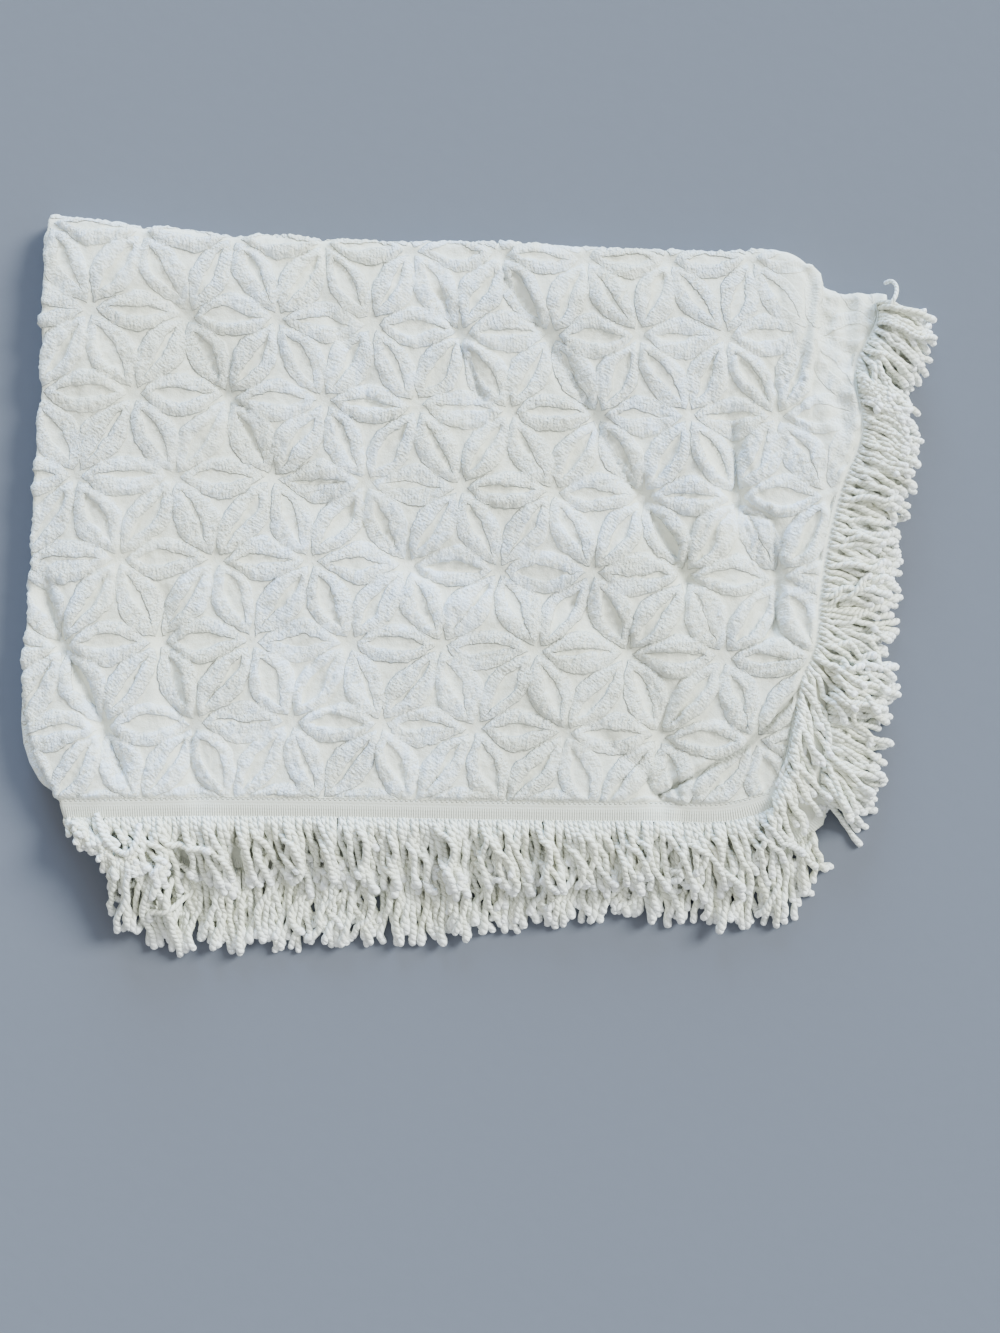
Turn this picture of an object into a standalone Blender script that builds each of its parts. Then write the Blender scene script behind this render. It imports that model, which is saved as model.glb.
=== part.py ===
# A tufted cotton bedspread laid folded: one sheet of cloth folded in half down
# its length, then back and forth in four sections, with a twisted cord trim
# sewn to its foot and both long sides. Metres, Z up, resting on z = 0.

import bpy
import math
import random
from mathutils import Vector

PLY_PITCH = 0.0056      # spacing of the layers in the stack
CLOTH_THICK = 0.0030    # ground cloth with its short pile
HALF_CLOTH = CLOTH_THICK / 2
SECTIONS = 4            # back-and-forth sections, each two layers
FOLD_STEPS = 5          # facets round each fold
TAPE_THICK = 0.0020     # woven heading of the trim
TAPE_WIDE = 0.0150
SEAM_GAP = 0.0005       # between the cloth's edge and the heading
PETAL_RISE = 0.0030     # height of a tufted petal
PETAL_LONG = 0.42       # half length, in flower spacings
PETAL_WIDE = 0.205      # half width, in flower spacings
FINE_CELL = 0.0162      # facets of the tufted face
OVERHANG_FALL = 0.34    # slope of the second layer past the stack
SIDE_FALL = 0.20        # share of its height the side trim loses
SIDE_REACH = 0.095
STRAND_WIDE = 0.0052
STRAND_THICK = 0.0042
SIDE_THICK = 0.0030
LOCK_WIDE = 0.0260
LOCK_LONG = 0.062

random.seed(11)

# outlines of the top layer in plan, x and y in metres
LEFT_EDGE = [
    (-0.475, 0.395), (-0.478, 0.310), (-0.482, 0.200), (-0.488, 0.090), (-0.494, -0.020),
    (-0.499, -0.108), (-0.493, -0.163), (-0.478, -0.205), (-0.467, -0.226), (-0.458, -0.246),
]
TOP_EDGE = [
    (-0.475, 0.395), (-0.308, 0.376), (-0.143, 0.367), (0.022, 0.364), (0.132, 0.360),
    (0.242, 0.354), (0.355, 0.344), (0.372, 0.326), (0.387, 0.313), (0.437, 0.311),
]
RIGHT_EDGE = [
    (0.437, 0.311), (0.439, 0.300), (0.414, 0.243), (0.418, 0.160), (0.399, 0.112),
    (0.383, 0.053), (0.372, -0.020), (0.366, -0.074), (0.355, -0.097), (0.344, -0.152),
    (0.335, -0.196), (0.320, -0.236),
]
FOOT_EDGE = [
    (-0.458, -0.246), (-0.308, -0.244), (-0.143, -0.245), (0.022, -0.248), (0.176, -0.249),
    (0.290, -0.246), (0.320, -0.236),
]
# foot and right edges of the second layer, which reach further out
SECOND_FOOT = [
    (-0.458, -0.246), (-0.418, -0.268), (-0.363, -0.297), (-0.198, -0.299), (-0.044, -0.290),
    (0.088, -0.275), (0.242, -0.270), (0.345, -0.273), (0.370, -0.262),
]
SECOND_RIGHT = [
    (0.437, 0.311), (0.442, 0.306), (0.425, 0.243), (0.427, 0.160), (0.416, 0.112),
    (0.403, 0.053), (0.394, -0.020), (0.387, -0.086), (0.381, -0.152), (0.376, -0.219),
    (0.370, -0.262),
]
# how far the lower sections reach past the top one: (section, b, left, right)
ACROSS = [0.0, 0.13, 0.29, 0.45, 0.61, 0.76, 0.875, 0.95, 1.0]
ALONG = [0.0, 0.10, 0.26, 0.44, 0.62, 0.78, 0.90, 0.97, 1.0]
LOWER_LEFT = [0.0, 0.0, 0.0, 0.001, 0.002, -0.003, -0.014, -0.026, -0.030]
LOWER_RIGHT = [0.0, -0.006, -0.010, -0.010, -0.012, -0.010, -0.012, -0.014, -0.014]

# lattice numbers of the flowers over the cloth: (power of x, power of y, column, row)
LATTICE = [
    (0, 0, 4.315, 3.169), (1, 0, 9.723, -0.360), (0, 1, -0.975, -11.306),
    (2, 0, 0.241, -0.086), (1, 1, 0.848, -0.667), (0, 2, 2.338, -0.217),
]
# soft troughs pressed into the face: (depth, half width, points)
TROUGHS = [
    (0.9, 0.012, [(0.030, 0.329), (0.074, 0.266), (0.129, 0.186), (0.176, 0.094), (0.228, 0.002)]),
    (0.8, 0.010, [(-0.483, 0.025), (-0.459, -0.065), (-0.449, -0.113), (-0.424, -0.152), (-0.404, -0.180)]),
    (0.9, 0.012, [(0.352, -0.089), (0.290, -0.184), (0.214, -0.232)]),
    (0.8, 0.012, [(0.281, 0.173), (0.308, 0.090), (0.328, 0.004)]),
]
PLEAT = [(0.362, 0.327), (0.360, 0.277), (0.352, 0.223)]

# strand leans along each edge: foot rows (x, degrees towards +x from -y),
# side rows (y, degrees below +x)
FOOT_LEAN = [(-0.46, 6), (-0.42, 10), (-0.30, 4), (0.0, 6), (0.20, 8), (0.28, 16), (0.34, 40)]
SECOND_LEAN = [(-0.46, -8), (-0.36, -4), (-0.24, 2), (0.0, 4), (0.25, 8), (0.38, 34)]
SIDE_LEAN = [(-0.30, 36), (-0.24, 24), (-0.14, 10), (0.0, 6), (0.07, 12), (0.15, 26), (0.22, 42),
             (0.28, 44), (0.30, 34), (0.33, 10)]

FABRIC = {"chenille": (0.87, 0.86, 0.80), "fringe": (0.84, 0.81, 0.72)}


def clear_scene():
    for old in list(bpy.data.objects):
        bpy.data.objects.remove(old, do_unlink=True)


def smooth(t):
    t = min(1.0, max(0.0, t))
    return t * t * (3 - 2 * t)


def along_line(points, share):
    # point at a share of the length of a run of points
    runs = [math.dist(p, q) for p, q in zip(points, points[1:])]
    left = share * sum(runs)
    for p, q, run in zip(points, points[1:], runs):
        if left <= run:
            k = left / run
            return (p[0] + (q[0] - p[0]) * k, p[1] + (q[1] - p[1]) * k)
        left -= run
    return points[-1]


def from_table(rows, at):
    # straight-line reading of a two-column table
    if at <= rows[0][0]:
        return rows[0][1]
    for (x0, y0), (x1, y1) in zip(rows, rows[1:]):
        if at <= x1:
            return y0 + (y1 - y0) * (at - x0) / (x1 - x0)
    return rows[-1][1]


def near_line(points, x, y):
    # distance from a point to a run of points
    best = 9.0
    for (ax, ay), (bx, by) in zip(points, points[1:]):
        dx, dy = bx - ax, by - ay
        k = ((x - ax) * dx + (y - ay) * dy) / (dx * dx + dy * dy)
        k = min(1.0, max(0.0, k))
        best = min(best, math.dist((x, y), (ax + dx * k, ay + dy * k)))
    return best


RIGHT_TABLE = sorted((y, x) for x, y in RIGHT_EDGE)
FOOT_TABLE = sorted(FOOT_EDGE)
SECOND_TABLE = sorted(SECOND_FOOT)


def past_right(x, y):
    return max(0.0, x - from_table(RIGHT_TABLE, y))


def past_foot(x, y):
    return max(0.0, from_table(FOOT_TABLE, x) - y)


def height_share(x, y):
    # gentle rise and fall of the whole stack, lower under the right end of the top fold
    wave = math.sin(5.3 * x + 3.1 * y + 0.6) + 0.7 * math.sin(8.7 * y - 3.3 * x + 2.0)
    share = 1 + 0.028 * wave
    low = smooth((x - 0.345) / 0.045) * smooth((y - 0.205) / 0.085)
    share *= 1 - 0.20 * low
    return share * (1 - SIDE_FALL * smooth(past_right(x, y) / SIDE_REACH))


def plan_point(a, b):
    # the top layer's outline filled in between its four edges
    left, right = along_line(LEFT_EDGE, b), along_line(RIGHT_EDGE, b)
    top, foot = along_line(TOP_EDGE, a), along_line(FOOT_EDGE, a)
    spot = []
    for k in (0, 1):
        flat = (1 - a) * left[k] + a * right[k] + (1 - b) * top[k] + b * foot[k]
        flat -= (1 - a) * ((1 - b) * LEFT_EDGE[0][k] + b * FOOT_EDGE[0][k])
        flat -= a * ((1 - b) * RIGHT_EDGE[0][k] + b * FOOT_EDGE[-1][k])
        spot.append(flat)
    return spot


def ply_point(section, outer, i, j):
    # plan position of grid point i across, j along, on one layer
    a, b = ACROSS[i], ALONG[j]
    x, y = plan_point(a, b)
    side = (0.0, 0.0, 0.0, 0.0, 0.0, 0.0, 0.0, 0.35, 1.0)[i]
    end = (0.0, 0.0, 0.0, 0.0, 0.0, 0.0, 0.0, 0.40, 1.0)[j]
    if section == 0 and not outer:
        far = along_line(SECOND_RIGHT, b)
        near = along_line(RIGHT_EDGE, b)
        x += side * (far[0] - near[0])
        far_y = from_table(SECOND_TABLE, x)
        y += end * min(0.0, far_y - from_table(FOOT_TABLE, x))
    if section > 0:
        if section < 3 or j > 0:
            x += LOWER_LEFT[j] * (1 - a) ** 6
        right = LOWER_RIGHT[j] * (0.8 if section == 3 else 1.0)
        if section > 1:
            right -= 0.008 * smooth(1 - 3 * b)
        if not outer:
            right += 0.005 * (smooth(4 * b) if section == 1 else 1.0)
        x += side * right
        y += end * 0.016
    return x, y


def sheet_grid():
    # rows from the foot over four sections to the head end, columns from the
    # second layer's right edge round the left fold to the top layer's
    p = PLY_PITCH
    n = len(ACROSS) - 1
    columns = [(i, -90.0) for i in range(n, -1, -1)]
    columns += [(0, -90 + 180 * k / FOLD_STEPS) for k in range(1, FOLD_STEPS)]
    columns += [(i, 90.0) for i in range(n + 1)]
    rows = []
    last = len(ALONG) - 1
    for m in range(SECTIONS):
        order = range(last, -1, -1) if m % 2 == 0 else range(last + 1)
        rows += [(m, j, 0.0) for j in order]
        if m < SECTIONS - 1:
            end = 0 if m % 2 == 0 else last
            rows += [(m, end, 180.0 * k / FOLD_STEPS) for k in range(1, FOLD_STEPS)]
    grid = []
    for m, j, turn in rows:
        line = []
        for i, roll in columns:
            h = p / 2 * math.sin(math.radians(roll))
            out = p / 2 * math.cos(math.radians(roll))
            x, y = ply_point(m, roll > -89, i, j)
            x -= out
            middle = (2 * SECTIONS - 1 - 2 * m) * p
            phi = math.radians(turn)
            if m % 2 == 0:
                z = middle - p + (p + h) * math.cos(phi)
                y += (p + h) * math.sin(phi)
            else:
                z = middle - p + (p - h) * math.cos(phi)
                y -= (p - h) * math.sin(phi)
            z = HALF_CLOTH + (z - p / 2) * height_share(x, y)
            if m == 0 and turn == 0 and roll < 0:
                z -= OVERHANG_FALL * past_foot(x, y) * math.sin(math.radians(-roll))
            line.append(Vector((x, y, z)))
        grid.append(line)
    return grid


def grid_normals(grid):
    rows, cols = len(grid), len(grid[0])
    normals = [[Vector() for _ in range(cols)] for _ in range(rows)]
    for r in range(rows - 1):
        for c in range(cols - 1):
            a, b = grid[r][c], grid[r][c + 1]
            d, e = grid[r + 1][c + 1], grid[r + 1][c]
            face = (d - a).cross(e - b).normalized()
            for rr, cc in ((r, c), (r, c + 1), (r + 1, c + 1), (r + 1, c)):
                normals[rr][cc] += face
    return [[n.normalized() for n in line] for line in normals]


def petal_height(column, row):
    # pillow of the nearest petal: petals lie on every line between two
    # neighbouring flower centres
    x, y = column, row * math.sqrt(0.75)
    best = 0.0
    for turn in (0, 60, 120):
        c, s = math.cos(math.radians(turn)), math.sin(math.radians(turn))
        e = c * x + s * y - 0.5
        n = c * y - s * x
        j = round(n / math.sqrt(0.75))
        n -= j * math.sqrt(0.75)
        e -= 0.5 * j
        e -= round(e)
        if abs(e) < PETAL_LONG:
            half = PETAL_WIDE * (1 - (e / PETAL_LONG) ** 2)
            if abs(n) < half:
                best = max(best, math.sqrt(1 - (n / half) ** 2))
    return best


def face_rise(x, y):
    column = row = 0.0
    for px, py, c, r in LATTICE:
        column += c * x ** px * y ** py
        row += r * x ** px * y ** py
    rise = PETAL_RISE * petal_height(column, row)
    for depth, half, points in TROUGHS:
        press = smooth(1 - near_line(points, x, y) / half) * depth
        rise = rise * (1 - press) - 0.0010 * press
    rise += 0.006 * smooth(1 - near_line(PLEAT, x, y) / 0.014)
    return rise


class Skin:
    # points and faces of one body, gathered before it is made
    def __init__(self):
        self.points = []
        self.faces = []

    def point(self, place):
        self.points.append((place[0], place[1], max(0.0, place[2])))
        return len(self.points) - 1

    def quad(self, a, b, c, d, other=False):
        if other:
            a, b, c, d = b, c, d, a
        self.faces.append((a, b, c))
        self.faces.append((a, c, d))

    def stitch(self, first, second):
        # triangles between two runs of (share, point), first on the left
        i = j = 0
        while i < len(first) - 1 or j < len(second) - 1:
            go = j == len(second) - 1
            if not go and i < len(first) - 1:
                go = first[i + 1][0] <= second[j + 1][0]
            if go:
                self.faces.append((first[i][1], second[j][1], first[i + 1][1]))
                i += 1
            else:
                self.faces.append((first[i][1], second[j][1], second[j + 1][1]))
                j += 1

    def make(self, name, slot):
        mesh = bpy.data.meshes.new(name)
        mesh.from_pydata(self.points, [], self.faces)
        mesh.update()
        body = bpy.data.objects.new(name, mesh)
        bpy.context.scene.collection.objects.link(body)
        cloth = bpy.data.materials.new(slot)
        cloth.use_nodes = True
        surface = cloth.node_tree.nodes["Principled BSDF"]
        surface.inputs["Base Color"].default_value = (*FABRIC[slot], 1)
        surface.inputs["Roughness"].default_value = 0.95
        surface.inputs["Metallic"].default_value = 0.0
        mesh.materials.append(cloth)
        return body


def make_cloth(grid, normals):
    skin = Skin()
    rows, cols = len(grid), len(grid[0])
    out, back = [], []
    for r in range(rows):
        out_line, back_line = [], []
        for c in range(cols):
            step = normals[r][c] * HALF_CLOTH
            out_line.append(skin.point(grid[r][c] + step))
            back_line.append(skin.point(grid[r][c] - step))
        out.append(out_line)
        back.append(back_line)

    # the top layer's face is finer and carries the petals
    first = cols - len(ACROSS)
    last = len(ALONG) - 1
    cuts_x = []
    for c in range(first, cols - 1):
        wide = (grid[3][c + 1] - grid[3][c]).length
        n = max(1, round(wide / FINE_CELL))
        cuts_x += [(c, k / n) for k in range(n)]
    cuts_x.append((cols - 1, 0.0))
    cuts_y = []
    for r in range(last):
        tall = (grid[r + 1][first + 2] - grid[r][first + 2]).length
        n = max(1, round(tall / FINE_CELL))
        cuts_y += [(r, k / n) for k in range(n)]
    cuts_y.append((last, 0.0))
    fine = []
    for r, fr in cuts_y:
        line = []
        for c, fc in cuts_x:
            if fr == 0 and fc == 0:
                corner = Vector(skin.points[out[r][c]])
            else:
                r2, c2 = min(r + 1, last), min(c + 1, cols - 1)
                lower = Vector(skin.points[out[r][c]]).lerp(Vector(skin.points[out[r][c2]]), fc)
                upper = Vector(skin.points[out[r2][c]]).lerp(Vector(skin.points[out[r2][c2]]), fc)
                corner = lower.lerp(upper, fr)
            edge = (r, fr) == (0, 0.0) or (r, fr) == (last, 0.0)
            edge = edge or (c, fc) == (first, 0.0) or (c, fc) == (cols - 1, 0.0)
            if edge:
                if fr == 0 and fc == 0:
                    line.append(out[r][c])
                    continue
            else:
                rise = face_rise(corner.x, corner.y)
                corner.z += rise
            line.append(skin.point(corner))
        fine.append(line)
    for k in range(len(cuts_y) - 1):
        for i in range(len(cuts_x) - 1):
            if (k + i) % 2:
                skin.quad(fine[k][i], fine[k][i + 1], fine[k + 1][i + 1], fine[k + 1][i])
            else:
                skin.quad(fine[k][i + 1], fine[k + 1][i + 1], fine[k + 1][i], fine[k][i])

    left_fine = [(r + fr, fine[k][0]) for k, (r, fr) in enumerate(cuts_y)]
    right_fine = [(r + fr, fine[k][-1]) for k, (r, fr) in enumerate(cuts_y)]
    foot_fine = [(sum(cut), fine[0][i]) for i, cut in enumerate(cuts_x)]
    top_fine = [(sum(cut), fine[-1][i]) for i, cut in enumerate(cuts_x)]

    def coarse(line, keep):
        return [(k, line[k]) for k in keep]

    patch_rows = range(last + 1)
    patch_cols = range(first, cols)
    fold_line = [(r, out[r][first - 1]) for r in patch_rows]
    skin.stitch(fold_line, left_fine)
    skin.stitch(coarse(out[last + 1], patch_cols), top_fine)
    skin.stitch(foot_fine, coarse(back[0], patch_cols))
    back_right = [(r, back[r][cols - 1]) for r in patch_rows]
    skin.stitch(right_fine, back_right)

    # every layer is cut along the same slant, so that they nest
    per = len(ALONG) + FOLD_STEPS - 1
    for r in range(rows - 1):
        for c in range(cols - 1):
            other = (r // per) % 2 != (c < first - 2)
            skin.quad(back[r][c], back[r + 1][c], back[r + 1][c + 1], back[r][c + 1], other)
            in_patch = r < last and c >= first
            beside = r < last and c == first - 1
            above = r == last and c >= first
            if in_patch or beside or above:
                continue
            skin.quad(out[r][c], out[r][c + 1], out[r + 1][c + 1], out[r + 1][c], other)
    for c in range(cols - 1):
        if c < first:
            skin.quad(back[0][c], back[0][c + 1], out[0][c + 1], out[0][c])
        skin.quad(out[-1][c], out[-1][c + 1], back[-1][c + 1], back[-1][c])
    for r in range(rows - 1):
        skin.quad(out[r][0], out[r + 1][0], back[r + 1][0], back[r][0])
        if r >= last:
            skin.quad(back[r][-1], back[r + 1][-1], out[r + 1][-1], out[r][-1])
    return skin.make("cloth", "chenille")


def second_height(x, y):
    # middle height of the second layer, its heading and strands past the foot
    d = past_foot(x, y)
    reach = from_table(FOOT_TABLE, x) - from_table(SECOND_TABLE, x)
    start = HALF_CLOTH + 6 * PLY_PITCH * height_share(x, y)
    if d < reach:
        return start - OVERHANG_FALL * d
    edge = start - OVERHANG_FALL * reach
    if d < reach + TAPE_WIDE:
        return edge - 0.42 * (d - reach)
    edge -= 0.42 * TAPE_WIDE
    floor = STRAND_THICK / 2
    return max(floor, edge - 0.50 * (d - reach - TAPE_WIDE))


def side_height(level, x, y):
    low = HALF_CLOTH + (level - 1) * PLY_PITCH * height_share(x, y)
    return max(SIDE_THICK / 2, low)


def trim_path(grid, normals):
    # the cloth's edge from the head end down one side, across the foot and
    # back up the other side: place, outward direction, normal, zone
    rows, cols = len(grid), len(grid[0])
    per = len(ALONG) + FOLD_STEPS - 1
    path = []

    def add(r, c, ahead, fall, zone):
        up = normals[r][c]
        out = up.cross(ahead).normalized()
        out.z -= fall
        path.append((grid[r][c], out.normalized(), up, zone))

    def side_zone(r, name):
        m, k = divmod(r, per)
        return (name, m) if k < len(ALONG) else ("turn", m)

    def step(r0, c0, r1, c1):
        return grid[r1][c1] - grid[r0][c0]

    n = len(ACROSS)
    for r in range(rows - 1, 0, -1):
        ahead = step(min(rows - 1, r + 1), cols - 1, r - 1, cols - 1)
        add(r, cols - 1, ahead, 0.02, side_zone(r, "outer"))
    down = step(1, cols - 1, 0, cols - 1).normalized()
    across = step(0, cols - 1, 0, cols - 2).normalized()
    add(0, cols - 1, down, 0.04, ("outer", 0))
    add(0, cols - 1, down + across, 0.08, ("corner", 0))
    add(0, cols - 1, across, 0.12, ("front", 0))
    for c in range(cols - 2, 0, -1):
        zone = ("front", 0) if c >= cols - n else ("back", 0)
        if n - 1 < c < cols - n:
            zone = ("roll", 0)
        add(0, c, step(0, c + 1, 0, c - 1), 0.12 if c >= cols - n else 0.10, zone)
    across = step(0, 1, 0, 0).normalized()
    up = step(0, 0, 1, 0).normalized()
    add(0, 0, across, 0.10, ("back", 0))
    add(0, 0, across + up, 0.08, ("corner", 0))
    add(0, 0, up, 0.04, ("inner", 0))
    for r in range(1, rows):
        ahead = step(r - 1, 0, min(rows - 1, r + 1), 0)
        add(r, 0, ahead, 0.02, side_zone(r, "inner"))
    return level_turns(path)


def level_turns(path):
    # round a fold the heading keeps one outward direction
    flat = [k for k, stop in enumerate(path) if stop[3][0] not in ("turn", "roll")]
    eased = list(path)
    for k0, k1 in zip(flat, flat[1:]):
        if k1 - k0 == 1:
            continue
        out = path[k0][1] + path[k1][1]
        if path[k0 + 1][3][0] == "turn":
            out.y = min(0.3, max(-0.3, out.y))
        out.normalize()
        for k in range(k0, k1 + 1):
            eased[k] = (path[k][0], out, path[k][2], path[k][3])
    return eased


def zone_strands(name, m):
    # number, width, thickness, length of the strands on one stretch of edge
    if name == "front":
        return 76, STRAND_WIDE, STRAND_THICK, 0.076
    if name == "back":
        return 70, STRAND_WIDE, STRAND_THICK, 0.080
    if name == "outer" and m == 0:
        return 40, STRAND_WIDE, SIDE_THICK, 0.072
    if name == "inner" and m == 0:
        return 34, STRAND_WIDE, SIDE_THICK, 0.066
    if name in ("outer", "inner"):
        return 12, LOCK_WIDE, SIDE_THICK, LOCK_LONG
    return 0, 0, 0, 0


def make_trim(grid, normals):
    skin = Skin()
    path = trim_path(grid, normals)
    outer = []
    for place, out, normal, zone in path:
        outer.append(place + out * (SEAM_GAP + TAPE_WIDE))
    run = [0.0]
    for p, q in zip(outer, outer[1:]):
        run.append(run[-1] + (q - p).length)

    def at(s):
        # outer edge's place and normal at a distance along it
        for k in range(len(run) - 1):
            if s <= run[k + 1] or k == len(run) - 2:
                f = (s - run[k]) / (run[k + 1] - run[k])
                up = path[k][2].lerp(path[k + 1][2], f).normalized()
                return outer[k].lerp(outer[k + 1], f), up

    strands = []
    zones = {}
    for k, (_, _, _, zone) in enumerate(path):
        zones.setdefault(zone, []).append(run[k])
    for (name, m), spots in zones.items():
        count, wide, thick, long = zone_strands(name, m)
        if not count:
            continue
        s0, s1 = min(spots) + 0.004, max(spots) - 0.004
        if m > 0:
            s0, s1 = s0 + 0.010, s1 - 0.010
        for k in range(count):
            s = s0 + (s1 - s0) * (k + 0.5) / count
            strands.append((s, wide, thick, long, name, m))
    strands.sort()

    # marks along the outer edge: strand roots, and the path's own points between
    marks = []
    roots = []
    for s, wide, thick, long, name, m in strands:
        roots.append((s - wide / 2, s + wide / 2))
        marks += [s - wide / 2, s + wide / 2]
    for s in run:
        if all(s < a - 0.0008 or s > b + 0.0008 for a, b in roots):
            marks.append(s)
    marks.sort()
    top_out, low_out = [], []
    for s in marks:
        place, up = at(s)
        top_out.append((s, skin.point(place + up * TAPE_THICK / 2)))
        low_out.append((s, skin.point(place - up * TAPE_THICK / 2)))
    top_in, low_in = [], []
    for k, (place, out, normal, zone) in enumerate(path):
        gap = SEAM_GAP
        near = place + out * gap
        top_in.append((run[k], skin.point(near + normal * TAPE_THICK / 2)))
        low_in.append((run[k], skin.point(near - normal * TAPE_THICK / 2)))
    skin.stitch(top_out, top_in)
    skin.stitch(low_in, low_out)
    for k in range(len(top_in) - 1):
        skin.quad(low_in[k][1], low_in[k + 1][1], top_in[k + 1][1], top_in[k][1])
    skin.quad(low_in[0][1], top_in[0][1], top_out[0][1], low_out[0][1])
    skin.quad(top_in[-1][1], low_in[-1][1], low_out[-1][1], top_out[-1][1])
    where = {s: k for k, s in enumerate(marks)}
    rooted = {}
    for item, (a, b) in zip(strands, roots):
        rooted[where[a]] = item
    for k in range(len(marks) - 1):
        ring = [top_out[k][1], top_out[k + 1][1], low_out[k + 1][1], low_out[k][1]]
        if k not in rooted:
            skin.quad(*ring)
            continue
        add_strand(skin, ring, rooted[k])
    return skin.make("fringe_trim", "fringe")


def add_strand(skin, ring, item):
    s, wide, thick, long, name, m = item
    corners = [Vector(skin.points[k]) for k in ring]
    root = sum(corners, Vector()) / 4
    if name in ("front", "back"):
        lean = from_table(FOOT_LEAN if name == "front" else SECOND_LEAN, root.x)
        lean = math.radians(lean + random.uniform(-1, 1))
        ahead = Vector((math.sin(lean), -math.cos(lean), 0))
    else:
        lean = math.radians(from_table(SIDE_LEAN, root.y) + random.uniform(-1, 1))
        ahead = Vector((math.cos(lean), -math.sin(lean), 0))
    beside = Vector((-ahead.y, ahead.x, 0))
    if (corners[1] - corners[0]).dot(beside) < 0:
        beside = -beside
    upward = 1 if corners[0].z + corners[1].z > corners[2].z + corners[3].z else -1
    long *= random.uniform(0.93, 1.05)
    steps = (0.30, 0.62, 1.0)
    if name in ("outer", "inner"):
        steps = (0.40, 1.0) if m == 0 else (1.0,)
    sway = random.uniform(-0.0006, 0.0006)
    start = root.z
    for k, share in enumerate(steps):
        spot = root + ahead * (long * share) + beside * sway * (1, -1, 1)[k]
        if name == "front":
            spot.z = second_height(spot.x, spot.y) + STRAND_THICK + 0.0040
        elif name == "back":
            spot.z = second_height(spot.x, spot.y)
        else:
            level = 8 - 2 * m if (name == "outer") == (m % 2 == 0) else 7 - 2 * m
            spot.z = side_height(level, spot.x, spot.y)
        spot.z = max(spot.z, thick / 2)
        size = 0.8 if share == 1 else 1.0
        w, h = beside * wide / 2 * size, Vector((0, 0, thick / 2 * size))
        if spot.z < thick / 2 + 0.0001:
            spot.z = h.z
        h *= upward
        new = [skin.point(spot - w + h), skin.point(spot + w + h),
               skin.point(spot + w - h), skin.point(spot - w - h)]
        for i in range(4):
            j = (i + 1) % 4
            skin.quad(ring[i], ring[j], new[j], new[i])
        ring = new
    skin.quad(*ring)


def centre_all():
    # the whole stands centred on the origin in plan
    bodies = list(bpy.data.objects)
    for k in (0, 1):
        spots = [v.co[k] for body in bodies for v in body.data.vertices]
        middle = (min(spots) + max(spots)) / 2
        for body in bodies:
            for v in body.data.vertices:
                v.co[k] -= middle
        print("moved", "xy"[k], round(-middle, 5))


clear_scene()
sheet = sheet_grid()
facing = grid_normals(sheet)
make_cloth(sheet, facing)
make_trim(sheet, facing)
centre_all()
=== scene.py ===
import bpy
import math
import random
import numpy as np
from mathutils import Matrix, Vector


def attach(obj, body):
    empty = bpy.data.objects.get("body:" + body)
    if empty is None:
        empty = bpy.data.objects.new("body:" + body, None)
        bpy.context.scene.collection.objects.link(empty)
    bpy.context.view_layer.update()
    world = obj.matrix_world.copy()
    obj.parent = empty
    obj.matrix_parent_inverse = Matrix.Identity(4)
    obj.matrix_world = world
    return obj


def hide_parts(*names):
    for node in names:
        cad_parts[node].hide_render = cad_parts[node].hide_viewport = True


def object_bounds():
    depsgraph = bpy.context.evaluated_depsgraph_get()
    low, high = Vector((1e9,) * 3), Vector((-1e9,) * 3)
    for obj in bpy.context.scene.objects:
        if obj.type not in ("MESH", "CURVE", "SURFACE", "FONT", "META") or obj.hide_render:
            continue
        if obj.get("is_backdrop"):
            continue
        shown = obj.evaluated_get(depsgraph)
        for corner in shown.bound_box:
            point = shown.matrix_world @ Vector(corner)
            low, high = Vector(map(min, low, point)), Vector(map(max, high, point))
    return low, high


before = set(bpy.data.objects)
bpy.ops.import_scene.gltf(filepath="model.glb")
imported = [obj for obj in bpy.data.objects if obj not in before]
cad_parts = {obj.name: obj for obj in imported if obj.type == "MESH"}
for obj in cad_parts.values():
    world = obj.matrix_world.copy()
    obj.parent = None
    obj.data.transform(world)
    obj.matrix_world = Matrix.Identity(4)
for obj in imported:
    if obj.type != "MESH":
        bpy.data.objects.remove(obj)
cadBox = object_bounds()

# A white tufted bedspread, folded in half down its length and then back and
# forth in four sections. The tufted face is up on the top layer, and a trim of
# twisted cords is sewn round the foot and both long sides. Metres, Z up.

random.seed(7)

# what the folded sheet is, shared by every piece
fold = {
    "pitch": 0.0056,          # spacing of the layers in the stack
    "thick": 0.0030,
    "move": (-0.00219, -0.00402),
    "tape": 0.0150,           # width of the trim's heading
    "secondFall": 0.34,       # slope of the second layer past the stack
    "sideFall": 0.20,
    "sideReach": 0.095,
    "top": 0.045,             # height at which a valley sinks in full
}

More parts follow.
